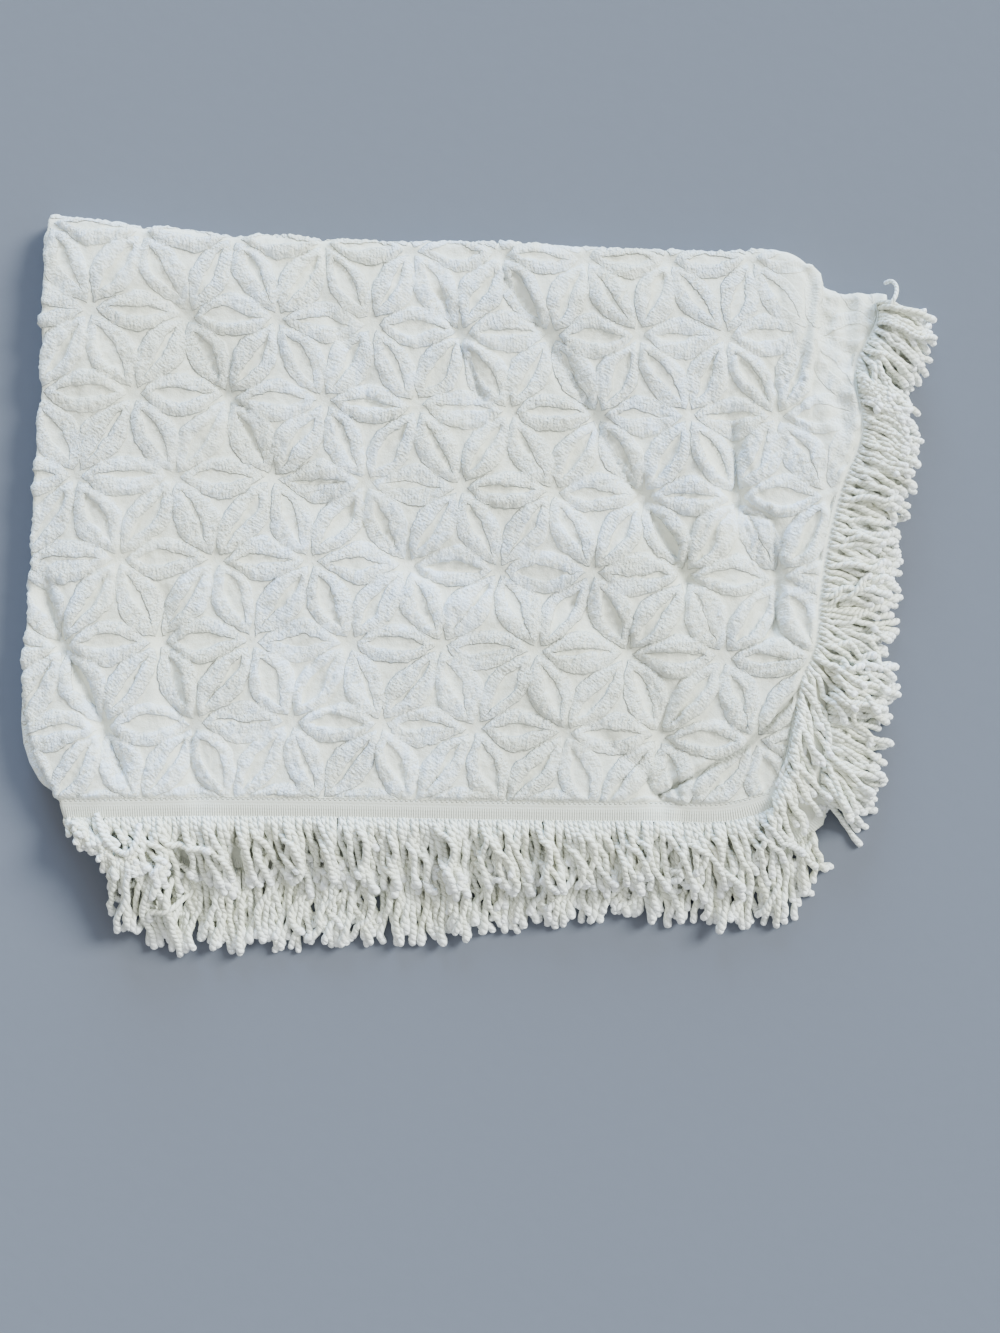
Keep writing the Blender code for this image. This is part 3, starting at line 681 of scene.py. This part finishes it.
sideShares = np.unique(np.r_[np.linspace(0, 1, cloth["coarse"] + 1), 0.97, 0.985])
downShares = np.unique(np.r_[np.linspace(0, 1, cloth["coarseDown"] + 1), 0.975])
rolls = np.linspace(-90, 90, cloth["foldSteps"] + 1)
coarseA = np.r_[sideShares[::-1], np.zeros(len(rolls) - 2), sideShares]
coarseRoll = np.r_[np.full(len(sideShares), -90.0), rolls[1:-1], np.full(len(sideShares), 90.0)]
rowList = []
for m in range(4):
    shares = downShares[::-1] if m % 2 == 0 else downShares
    rowList += [(m, b, 0.0) for b in shares]
    if m < 3:
        rowList += [(m, shares[-1], 180.0 * k / 7) for k in range(1, 7)]


def layRows(wanted, across, roll):
    # places and unfolded places, row by row
    laid = [layRow(m, b, turn, across, roll) for m, b, turn in wanted]
    flats = [np.array([row[k] + 0.0 * across for row in laid]) for k in (1, 2)]
    return np.array([row[0] for row in laid]), *flats


coarse, coarseX, coarseY = layRows(rowList, coarseA, coarseRoll)

# the fine face: left fold and top layer across, top layer and top fold along
nFine = int(0.90 / cloth["cell"])
nTall = int(0.60 / cloth["cell"])
fineRolls = np.linspace(-90, 90, max(5, int(0.0136 / cloth["cell"]) + 1))
fineA = np.r_[np.zeros(len(fineRolls) - 1), np.linspace(0, 1, nFine)]
fineRoll = np.r_[fineRolls[:-1], np.full(nFine, 90.0)]
nTurn = max(7, int(0.031 / cloth["cell"]))
fineRows = [(0, b, 0.0) for b in np.linspace(1, 0, nTall)]
fineRows += [(0, 0.0, 180.0 * k / nTurn) for k in range(1, nTurn)] + [(1, 0.0, 0.0)]
fine, flatX, flatY = layRows(fineRows, fineA, fineRoll)
flatY[-1] = flatY[-2] + (flatY[-2] - flatY[-3])
fineFacing = normalsOf(fine)
rise, fineU, fineV, fineVary, fineCreaseShade = faceRise(flatX, flatY)

# the relief dies out at the hems and where the face turns under
acrossRun = np.r_[np.linspace(0, 0, len(fineRolls) - 1), np.linspace(0, 1, nFine)]
fade = smooth((1 - acrossRun) * 0.9 / 0.0045)[None, :] * np.ones(len(fineRows))[:, None]
fade = fade * smooth((fineRoll + 90) / 70)[None, :]
down = np.array([b for m, b, turn in fineRows])
turned = np.array([turn if m == 0 else 180 for m, b, turn in fineRows])
fade = fade * (smooth(((1 - down) * 0.6 - 0.0062) / 0.005) * smooth((180 - turned) / 70))[:, None]
fine = fine + fineFacing * (half + rise * fade)[..., None]


def facetAt(shares, at):
    # the facet each share falls in, and how far across it that is
    k = np.clip(np.searchsorted(shares, at, "right") - 1, 0, len(shares) - 2)
    return k, (at - shares[k]) / (shares[k + 1] - shares[k])


# the plain layers have large facets, so they are let down where the face dips
# between their points
faceZ = fine[:nTall, len(fineRolls) - 1:, 2][::-1]
backZ = coarse[:len(downShares), -len(sideShares):, 2][::-1] - half
i, s = facetAt(downShares, np.linspace(0, 1, nTall)[:, None])
j, t = facetAt(sideShares, np.linspace(0, 1, nFine)[None, :])
between = ((backZ[i, j] * (1 - s) + backZ[i + 1, j] * s) * (1 - t)
           + (backZ[i, j + 1] * (1 - s) + backZ[i + 1, j + 1] * s) * t)
over = np.maximum(0, between - faceZ + cloth["apart"])
sag = np.zeros(backZ.shape)
for di, dj in ((0, 0), (0, 1), (1, 0), (1, 1)):
    np.maximum.at(sag, (i + di + 0 * j, j + dj + 0 * i), over)
sag[-1, :] = sag[:, -1] = 0             # the hems stay together
sagRow = np.searchsorted(downShares, [b - 1e-9 for m, b, turn in rowList])
sagCol = np.searchsorted(sideShares, coarseA - 1e-9)
coarse[..., 2] -= sag[sagRow][:, sagCol] * sinkShare(coarse[..., 2])
print("largest sag", round(float(sag.max()), 4))
facing = normalsOf(coarse)

skin = Skin()
backIds = skin.grid(coarse - facing * half)
outIds = skin.grid(coarse + facing * half)
fineIds = skin.grid(fine)
firstCol = len(sideShares) - 1                     # the coarse column at roll -90
lastRow = len(downShares) + 6                      # the row where the top fold ends
rows, cols = len(rowList), len(coarseA)

skin.skinGrid(fineIds)
skin.skinGrid(backIds, flip=True)
keep = np.ones((rows - 1, cols - 1), bool)
keep[:lastRow, firstCol:] = False
skin.skinGrid(outIds, keep=keep)


def runOf(ids):
    # shares of the length of a run of points
    run = runAlong(np.array([skin.points[i] for i in ids]))
    return list(zip((run / run[-1]).tolist(), [int(i) for i in ids]))


fineLeft, coarseLeft = fineIds[:, 0], outIds[:lastRow + 1, firstCol]
fineTop, coarseTop = fineIds[-1, :], outIds[lastRow, firstCol:]
fineFoot, backFoot = fineIds[0, :], backIds[0, firstCol:]
fineRight, backRight = fineIds[:, -1], backIds[:lastRow + 1, -1]
skin.stitch(runOf(coarseLeft), runOf(fineLeft))
skin.stitch(runOf(coarseTop), runOf(fineTop))
skin.stitch(runOf(fineFoot), runOf(backFoot))
skin.stitch(runOf(fineRight), runOf(backRight))
# small corners left between the patches
skin.face(fineIds[0, 0], outIds[0, firstCol], backIds[0, firstCol])
skin.face(fineIds[-1, -1], backIds[lastRow, -1], outIds[lastRow, -1])
for c in range(firstCol):
    skin.face(backIds[0, c], backIds[0, c + 1], outIds[0, c + 1], outIds[0, c])
for c in range(cols - 1):
    skin.face(outIds[-1, c], outIds[-1, c + 1], backIds[-1, c + 1], backIds[-1, c])
for r in range(rows - 1):
    skin.face(outIds[r, 0], outIds[r + 1, 0], backIds[r + 1, 0], backIds[r, 0])
    if r >= lastRow:
        skin.face(backIds[r, -1], backIds[r + 1, -1], outIds[r + 1, -1], outIds[r, -1])

spread = skin.make("bedspread_cloth", chenilleLook, "chenille")
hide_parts("cloth")
# lattice numbers of every point, with 1 for the tufted face
mark = np.zeros((len(skin.points), 3), dtype=np.float32)
cu, cv = latticeAt(coarseX, coarseY)
mark[outIds.ravel()] = np.stack([cu.ravel(), cv.ravel(), np.full(cu.size, 1.0)], axis=1)
mark[fineIds.ravel()] = np.stack([fineU.ravel(), fineV.ravel(), fade.ravel()], axis=1)
addValues(spread, "flower", mark)
mark[:] = (1, 1, 0)
mark[fineIds.ravel()] = fineVary.reshape(-1, 3)
addValues(spread, "vary", mark)
# painted shade along the creases of the tufted face
deepShade = np.zeros(len(skin.points), dtype=np.float32)
deepShade[fineIds.ravel()] = fineCreaseShade.ravel()
addValues(spread, "furrow", deepShade)
print("cloth laid")

# the trim
trim = {
    "frontFall": 0.12, "backFall": 0.10, "sideFall": 0.22,      # slopes of the heading
    "pitch": 0.0052,         # spacing of the strands, and its share
    "hiddenPitch": 1.6,      # on the hidden hems
    "sidePitch": 0.82,       # and on the second hem from the top
    "radius": 0.0035,
    "curl": 0.0011,          # small waves along a strand
    "side": 0.078,           # full length of a strand at the side
    "sideSize": 0.92,        # and its thickness as a share
    "crowdFrom": -0.10,      # they crowd below this
    "sideEnd": -0.236,       # and stop here
    "sink": 0.50,            # how far soft strands bed into each other
    "keepUp": 0.22,          # how much of a strand's radius carries the next one
    "slope": 0.62,           # steepest fall of a strand
    "cap": 0.0525,           # no strand rises above this
}
# lean of the strands along the foot and the side, in degrees, and their share of the length
footLean = [(-0.46, 20), (-0.44, 22), (-0.40, 12), (-0.30, 5), (0.0, 6), (0.20, 8), (0.28, 12), (0.34, 18)]
secondLean = [(-0.46, 20), (-0.40, 8), (-0.36, -2), (-0.24, 2), (0.0, 4), (0.25, 6), (0.38, 4)]
sideLean = [(-0.24, 36), (-0.21, 26), (-0.16, 9), (-0.10, 4), (0.0, 8), (0.07, 14), (0.15, 30), (0.22, 46),
            (0.28, 46), (0.30, 30), (0.33, 0)]
topLean = [(-0.24, 62), (-0.16, 74), (-0.10, 66), (-0.07, 34), (-0.03, 12), (0.0, 8), (0.07, 14), (0.15, 30),
           (0.22, 46), (0.28, 46), (0.30, 30), (0.33, 0)]
footShare = [(-0.465, 0.36), (-0.418, 0.42), (-0.407, 0.78), (-0.37, 1.0), (0.26, 1.0), (0.34, 0.74)]
secondShare = [(-0.45, 0.20), (-0.418, 0.30), (-0.405, 0.72), (-0.385, 0.95), (-0.36, 1.0), (0.28, 1.0),
               (0.33, 0.86), (0.37, 0.52)]
sideShare = [(-0.26, 0.92), (-0.05, 1.0), (0.04, 0.90), (0.12, 0.84), (0.28, 0.90), (0.31, 0.74)]
# the two rows at the foot, each with short fillers that are laid first
footRows = {
    "back": {"long": 0.098, "least": 0.85, "lean": secondLean, "share": secondShare, "sway": 4, "seed": 21,
             "pitch": 0.88, "fillPitch": 0.85, "fillLong": 0.93, "fillWander": 1.3, "fillFrom": -1.0},
    "front": {"long": 0.090, "least": 0.80, "lean": footLean, "share": footShare, "sway": 5, "seed": 22,
              "pitch": 0.90, "fillPitch": 1.3, "fillLong": 0.8, "fillWander": 1.2, "fillFrom": -0.40},
}


def hemStops(m, roll, names):
    # down the right hem of section m and round the fold at its end
    down = np.linspace(1, 0, 120) if m % 2 == 0 else np.linspace(0, 1, 120)
    order = [(b, 0.0, names[0]) for b in down]
    if m < 3:
        end = 0.0 if m % 2 == 0 else 1.0
        order += [(end, 180.0 * k / 6, names[1]) for k in range(1, 6)]
    found = []
    for b, turn, name in order:
        pair = layRow(m, b, turn, np.array([1.0, 0.985]), np.array([roll, roll]))[0]
        found.append((pair[0], pair[1], (name, m)))
    return found


def edgePath():
    # the cloth's edge, as points on it and a little inside it, and their zone
    stops = []
    for m in (3, 2, 1, 0):
        stops += hemStops(m, 90.0, ("outer", "turn"))[::-1]
    across = [(a, 90.0) for a in np.linspace(1, 0, 170)[1:]]
    across += [(0.0, r) for r in (60.0, 30.0, 0.0, -30.0, -60.0)]
    across += [(a, -90.0) for a in np.linspace(0, 1, 170)[:-1]]
    for a, roll in across:
        spots = [layRow(0, b, 0.0, np.array([a]), np.array([roll]))[0][0] for b in (1.0, 0.98)]
        name = "front" if roll > 80 else "back" if roll < -80 else "roll"
        stops.append((spots[0], spots[1], (name, 0)))
    for m in range(4):
        stops += hemStops(m, -90.0, ("inner", "turnInner"))
    return stops


stops = edgePath()
place = np.array([s[0] for s in stops])
inward = np.array([s[1] for s in stops]) - place
zone = [s[2] for s in stops]
ahead = unit(np.gradient(place, axis=0))
out = -inward
out = unit(out - ahead * np.sum(out * ahead, axis=1, keepdims=True))


def easeLine(values, rounds):
    for _ in range(rounds):
        values = values.copy()
        values[1:-1] = (values[:-2] + 2 * values[1:-1] + values[2:]) / 4
    return values


out = unit(easeLine(out, 12))
faceSide = unit(np.cross(ahead, out))
falls = {"front": trim["frontFall"], "back": trim["backFall"]}
out[:, 2] -= np.array([falls.get(z[0], trim["sideFall"]) for z in zone])
out = unit(out)

# the heading: a ribbed tape lapped a little onto the cloth, as distance out
# from the cloth's edge, height over the middle of the cloth, and thickness
profile = [(-heading["lap"], half - 0.0006, 0.0010), (-heading["lap"] + 0.0014, half + 0.0002, 0.0016),
           (-heading["lap"] + 0.0030, half, 0.0015), (-0.0005, half + 0.0006, 0.0014),
           (0.004, half - 0.0002, 0.0020), (0.009, 0.0006, 0.0022), (fold["tape"] - 0.002, 0.0, 0.0020),
           (fold["tape"], 0.0, 0.0011)]
tape = Skin()
onSide = easeLine(np.array([0.0 if z[0] in ("front", "back", "roll") else 1.0 for z in zone]), 6)
tops, lows = [], []
for t, lift, thick in profile:
    # on the sides it is turned in and lies flatter
    reach = (t * (1 - 0.5 * onSide) if t < 0 else t + 0 * onSide)[:, None]
    rise = lift * (1 - 0.65 * onSide)[:, None] if t < 0.004 else lift + 0 * onSide[:, None]
    tops.append(place + out * reach + faceSide * (rise + thick / 2))
    lows.append(place + out * reach + faceSide * (rise - thick / 2))
tops, lows = np.stack(tops, axis=1), np.stack(lows, axis=1)
lowIds, topIds = tape.grid(tops), tape.grid(lows)     # the path runs clockwise, so it is built from below
tape.skinGrid(topIds)
tape.skinGrid(lowIds, flip=True)
for k in range(len(stops) - 1):
    tape.face(lowIds[k, 0], lowIds[k + 1, 0], topIds[k + 1, 0], topIds[k, 0])
    tape.face(topIds[k, -1], topIds[k + 1, -1], lowIds[k + 1, -1], lowIds[k, -1])
for j in range(len(profile) - 1):
    tape.face(topIds[0, j], topIds[0, j + 1], lowIds[0, j + 1], lowIds[0, j])
    tape.face(lowIds[-1, j], lowIds[-1, j + 1], topIds[-1, j + 1], topIds[-1, j])
tapePiece = tape.make("fringe_heading", headingLook, "fringe")
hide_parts("fringe_trim")
runLength = runAlong(place)
layer = tapePiece.data.uv_layers.new(name="run")
nProfile = len(profile)
corner = np.zeros(len(tapePiece.data.loops), dtype=np.int32)
tapePiece.data.loops.foreach_get("vertex_index", corner)
local = corner % (len(stops) * nProfile)
runUv = np.stack([runLength[local // nProfile], np.array([t for t, _, _ in profile])[local % nProfile]
                  + heading["lap"]], axis=1)
layer.data.foreach_set("uv", runUv.astype(np.float32).ravel())
addValues(tapePiece, "side", np.tile(np.repeat(onSide, nProfile), 2))
print("heading sewn,", round(float(runLength[-1]), 2), "m")

# height of what lies under the next strand, on a fine plan grid
cellSize = 0.0015
gridX, gridY = -0.57, -0.47
pileTop = np.zeros((int(1.14 / cellSize), int(0.96 / cellSize)))
roof = np.full_like(pileTop, 9.0)


def cellOf(points, dx=0, dy=0):
    i = np.clip(((points[:, 0] + dx * cellSize - gridX) / cellSize).astype(int), 0, pileTop.shape[0] - 1)
    j = np.clip(((points[:, 1] + dy * cellSize - gridY) / cellSize).astype(int), 0, pileTop.shape[1] - 1)
    return i, j


offsets = [(dx, dy) for dx in (-1, 0, 1) for dy in (-1, 0, 1)]


def stampSheet(points, lift, into):
    # dense points of a layer of cloth or heading
    keepBetter = np.maximum if into is pileTop else np.minimum
    for dx, dy in offsets:
        keepBetter.at(into, cellOf(points, dx, dy), points[:, 2] + lift)


def layerPoints(m, roll):
    shares = np.linspace(0, 1, 300)
    wide = np.linspace(0.55, 1, 160) if m else np.linspace(0, 1, 330)
    return np.concatenate([layRow(m, b, 0.0, wide, np.full(len(wide), roll))[0] for b in shares])


def tapePoints(names):
    picked = np.array([k for k, z in enumerate(zone) if z in names])
    return np.concatenate([place[picked] + out[picked] * t for t in np.linspace(0, fold["tape"], 9)])


def strandPath(root, heading0, length, count=40, wander=1.0):
    # a wavy plan path that starts square to the heading
    wander = wander * (0.65 if random.random() < 0.7 else 1.25)
    bend = random.gauss(0, 0.16) * wander
    swing = [random.gauss(0, 0.38) * wander, random.gauss(0, 0.36) * wander]
    phase = [random.uniform(0, 6.28), random.uniform(0, 6.28)]
    spots = [root[:2].copy()]
    step = length / (count - 1)
    for k in range(count - 1):
        t = k / (count - 1)
        wave = swing[0] * math.sin(phase[0] + 6.5 * t) + swing[1] * math.sin(phase[1] + 12.0 * t)
        turn = heading0 + bend * (smooth(t * 4) + t) + float(smooth(3.5 * t)) * wave
        spots.append(spots[-1] + step * np.array([math.cos(turn), math.sin(turn)]))
    spots = np.array(spots)
    beside = np.gradient(spots, axis=0)[:, ::-1] * [-1, 1] / step
    run = np.arange(count) * step
    wave = np.sin(2 * np.pi * run / random.uniform(0.015, 0.021) + random.uniform(0, 6.28))
    curl = trim["curl"] * random.uniform(0.2, 1.3) * wander * smooth(run / 0.015)
    return spots + beside * (wave * curl)[:, None]


def layStrand(spots, rootZ, radius, useRoof, cap=trim["cap"]):
    # heights along the strand, resting on what is there already
    n = len(spots)
    under = np.zeros(n)
    for dx, dy in offsets:
        under = np.maximum(under, pileTop[cellOf(spots, dx, dy)])
    step = np.linalg.norm(spots[1] - spots[0])
    z = under + radius * trim["sink"]
    grip = smooth(np.arange(n) * step / 0.010)
    z = rootZ * (1 - grip) + z * grip
    z[0] = rootZ
    for k in range(1, n):
        z[k] = max(z[k], z[k - 1] - trim["slope"] * step)
    for k in range(n - 2, 0, -1):
        z[k] = max(z[k], z[k + 1] - 1.1 * step)
    z = easeLine(z, 3)
    if useRoof:
        z = np.minimum(z, roof[cellOf(spots)] - radius * 0.9)
    z = np.clip(z, radius * 0.92, cap - radius)
    for dx, dy in offsets:
        drop = 0.12 * radius * (abs(dx) + abs(dy))
        np.maximum.at(pileTop, cellOf(spots[1:], dx, dy), z[1:] + radius * trim["keepUp"] - drop)
    return z


class Fringe(Skin):
    def __init__(self):
        super().__init__()
        self.uv, self.tip, self.shade = [], [], []

    def tube(self, line, radii, sides, tone, tipFrom):
        # a closed tube along a line, with its length and turn kept for the twist
        line = np.asarray(line)
        tangent = unit(np.gradient(line, axis=0))
        beside = np.cross(tangent, [0, 0, 1.0])
        beside /= np.maximum(1e-6, np.linalg.norm(beside, axis=1, keepdims=True))
        above = np.cross(beside, tangent)
        run = runAlong(line)
        angles = 2 * np.pi * np.arange(sides) / sides
        ring = (line[:, None, :] + radii[:, None, None] * (np.cos(angles)[None, :, None] * beside[:, None, :]
                + np.sin(angles)[None, :, None] * above[:, None, :]))
        ids = self.grid(ring)
        share = smooth((run / run[-1] - tipFrom) / (1 - tipFrom))
        self.tip += np.repeat(share, sides).tolist()
        self.shade += [tone] * (len(line) * sides)
        start, pull = random.random(), random.uniform(0.82, 1.25)
        run = run * pull
        for k in range(len(line) - 1):
            for s in range(sides):
                t = (s + 1) % sides
                self.face(ids[k, s], ids[k + 1, s], ids[k + 1, t], ids[k, t])
                u0, u1 = s / sides + start, (s + 1) / sides + start
                self.uv += [(u0, run[k]), (u0, run[k + 1]), (u1, run[k + 1]), (u1, run[k])]
        self.face(*ids[0])
        self.face(*ids[-1][::-1])
        self.uv += [(start, 0.0)] * sides + [(start, run[-1])] * sides

    def finish(self, name):
        piece = self.make(name, yarnLook, "fringe")
        twist = piece.data.uv_layers.new(name="twist")
        twist.data.foreach_set("uv", np.array(self.uv, dtype=np.float32).ravel())
        addValues(piece, "tip", self.tip)
        addValues(piece, "shade", self.shade)
        return piece


def addStrand(piece, root, direction, length, useRoof, rings=16, sides=6, wander=1.0, size=1.0):
    radius = trim["radius"] * random.uniform(0.92, 1.08) * size
    spots = strandPath(root, direction, length, wander=wander)
    z = layStrand(spots, root[2], radius, useRoof)
    line = np.column_stack([spots, z])
    run = runAlong(line)
    total = run[-1]
    at = np.r_[np.linspace(0, 0.86, rings - 4), 0.925, 0.965, 0.99, 1.0] * total
    line = np.column_stack([np.interp(at, run, line[:, k]) for k in range(3)])
    bulge = random.uniform(1.08, 1.38)
    shape = np.interp(at / total, [0, 0.06, 0.16, 0.80, 0.90, 0.965, 0.99, 1.0],
                      [0.62, 0.80, 1.0, 0.97, bulge, bulge, 0.82 * bulge, 0.35 * bulge])
    tone = min(1.0, max(0.0, random.gauss(0.35, 0.30)))
    piece.tube(line, radius * shape, sides, tone, 0.80)


# strand roots along the heading's outer edge, from the bottom layer up
outerEdge = place + out * (fold["tape"] - 0.0012)
innerEdge = place + out * 0.0030 + [0, 0, 0.0020]
edgeRun = runAlong(outerEdge)


def rootsOf(name, m, pitch, edge):
    picked = [k for k, z in enumerate(zone) if z == (name, m)]
    s0, s1 = edgeRun[picked[0]], edgeRun[picked[-1]]
    count = int((s1 - s0) / pitch)
    found = []
    for k in range(count):
        s = s0 + (s1 - s0) * (k + 0.5 + random.uniform(-0.25, 0.25)) / count
        found.append(np.array([np.interp(s, edgeRun, edge[:, q]) for q in range(3)]))
    return found


def tableAt(rows, at):
    return float(np.interp(at, *np.array(rows).T))


# a looped strand at the left and one that stands off the top right corner: size, points
strays = [(0.95, [(-0.421, -0.254), (-0.413, -0.276), (-0.400, -0.292), (-0.387, -0.298), (-0.377, -0.288),
                  (-0.373, -0.262)]),
          (0.68, [(0.447, 0.300), (0.456, 0.314), (0.459, 0.326), (0.456, 0.334), (0.450, 0.334)])]
strayLay = {"root": 0.042, "cap": 0.0545, "lift": 0.0012}


def layFootRow(piece, name):
    row = footRows[name]
    for filler in (True, False):
        pitch = trim["pitch"] * (row["fillPitch"] if filler else row["pitch"])
        for root in rootsOf(name, 0, pitch, outerEdge):
            if filler and root[0] < row["fillFrom"]:
                continue
            lean = tableAt(row["lean"], root[0]) + row["sway"] * ripple(root[0], 0, 0.05, row["seed"])
            lean += random.gauss(0, 4)
            length = row["long"] * tableAt(row["share"], root[0]) * random.uniform(row["least"], 1.06)
            length = length * (row["fillLong"] if filler else 1)
            addStrand(piece, root, math.radians(lean - 90), length, False,
                      rings=12 if filler else 16, wander=row["fillWander"] if filler else 1.0)


def layStray(piece, size, points):
    points = np.array(points)
    share = np.linspace(0, 1, len(points))
    spots = np.column_stack([readSmooth(share, points[:, k], np.linspace(0, 1, 40)) for k in (0, 1)])
    radius = trim["radius"] * size
    z = layStrand(spots, strayLay["root"], radius, False, strayLay["cap"]) + strayLay["lift"]
    piece.tube(np.column_stack([spots, z])[::2], np.full(20, radius), 6, 1.0, 0.80)


# the hems from the bottom layer up: zone, section and roll
levels = {}
for m in range(4):
    levels[8 - 2 * m if m % 2 == 0 else 7 - 2 * m] = ("outer", m, 90.0)
    levels[7 - 2 * m if m % 2 == 0 else 8 - 2 * m] = ("inner", m, -90.0)
secondZones = {("inner", 0), ("back", 0)}
stampSheet(layerPoints(0, -90.0), -half, roof)
stampSheet(tapePoints(secondZones), -0.001, roof)
lowSide, highSide, lowFoot, highFoot = Fringe(), Fringe(), Fringe(), Fringe()
for level in range(1, 9):
    name, m, roll = levels[level]
    stampSheet(layerPoints(m, roll), half, pileTop)
    names = {7: {("back", 0)}, 8: {("front", 0), ("roll", 0)}}.get(level, set()) | {(name, m)}
    stampSheet(tapePoints(names), 0.001, pileTop)
    hidden, under = level < 6, level < 7
    side, edge = lowSide if under else highSide, outerEdge if hidden else innerEdge
    detail = {"rings": 8, "sides": 5} if hidden else {"rings": 14, "sides": 6}
    share = trim["hiddenPitch"] if hidden else trim["sidePitch"] if level == 7 else 1.0
    for root in rootsOf(name, m, trim["pitch"] * share, edge):
        if level < 8 and root[1] < trim["sideEnd"]:
            continue
        lean = tableAt(topLean if level == 8 else sideLean, root[1])
        lean += 9 * ripple(root[1], m, 0.05, 23) + random.gauss(0, 7)
        length = trim["side"] * tableAt(sideShare, root[1]) * random.uniform(0.80, 1.06)
        addStrand(side, root, -math.radians(lean), length, under, wander=0.8, size=trim["sideSize"], **detail)
        if 2 < level < 8 and root[1] < trim["crowdFrom"]:
            lean += random.uniform(2, 16)
            addStrand(side, root, -math.radians(lean), length * 1.05, under, wander=0.8, size=0.9, **detail)
    if level == 7:
        layFootRow(lowFoot, "back")
    if level == 8:
        layFootRow(highFoot, "front")
        for size, points in strays:
            layStray(highFoot, size, points)
    print("level", level, "laid, highest", round(float(pileTop.max()), 4))

fringes = [lowSide.finish("fringe_side_lower"), highSide.finish("fringe_side_upper"),
           lowFoot.finish("fringe_foot_lower"), highFoot.finish("fringe_foot_upper")]
for piece in fringes:
    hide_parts("fringe_trim")

# the stage
stage = {
    "floor": (0.137, 0.147, 0.180, 1),
    "camera": (0.0198, -0.0970, 2.076),
    "lens": 50,
    "sky": (0.945, 0.995, 1.0),
    "skyStrength": 0.90,
    "sunFrom": (0.80, 0.46, 0.56),       # low and from the upper right
    "sunStrength": 7.6,
    "sunWidth": 0.42,
    "sunColour": (0.90, 0.985, 0.965),
    "coolFrom": (-0.12, 0.97, 0.20),     # a weak blue light that reaches the top fold
    "coolStrength": 7.0,
    "coolWidth": 0.5,
    "coolColour": (0.42, 0.66, 1.0),
}
bpy.ops.object.select_all(action="DESELECT")
bpy.ops.mesh.primitive_plane_add(size=9, location=(0, 0, -0.0002))
floor = bpy.context.object
floor.name = "floor"
floorKit = NodeKit("floor")
speck = floorKit.noise(60, 3)
tint = floorKit.mix(speck, stage["floor"], tuple(c * 1.03 for c in stage["floor"][:3]) + (1,))
floor.data.materials.append(floorKit.finish(tint, 0.95, speck, 0.0002))
floor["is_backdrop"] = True


def addSun(name, strength, width, colour, fromWhere):
    sun = bpy.data.lights.new(name, "SUN")
    sun.energy, sun.angle, sun.color = strength, width, colour
    holder = addObject(name, sun)
    holder.rotation_euler = (-Vector(fromWhere)).to_track_quat("-Z", "Y").to_euler()


addSun("window", stage["sunStrength"], stage["sunWidth"], stage["sunColour"], stage["sunFrom"])
addSun("doorway", stage["coolStrength"], stage["coolWidth"], stage["coolColour"], stage["coolFrom"])
world = bpy.data.worlds.new("room")
world.use_nodes = True
world.node_tree.nodes["Background"].inputs[0].default_value = (*stage["sky"], 1)
world.node_tree.nodes["Background"].inputs[1].default_value = stage["skyStrength"]
bpy.context.scene.world = world

camera = bpy.data.cameras.new("camera")
camera.lens, camera.sensor_width = stage["lens"], 36
cameraHolder = addObject("camera", camera)
cameraHolder.location = stage["camera"]
bpy.context.scene.camera = cameraHolder
print("stage set")

size = {"cad": [list(c) for c in cadBox], "visual": [list(c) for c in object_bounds()]}
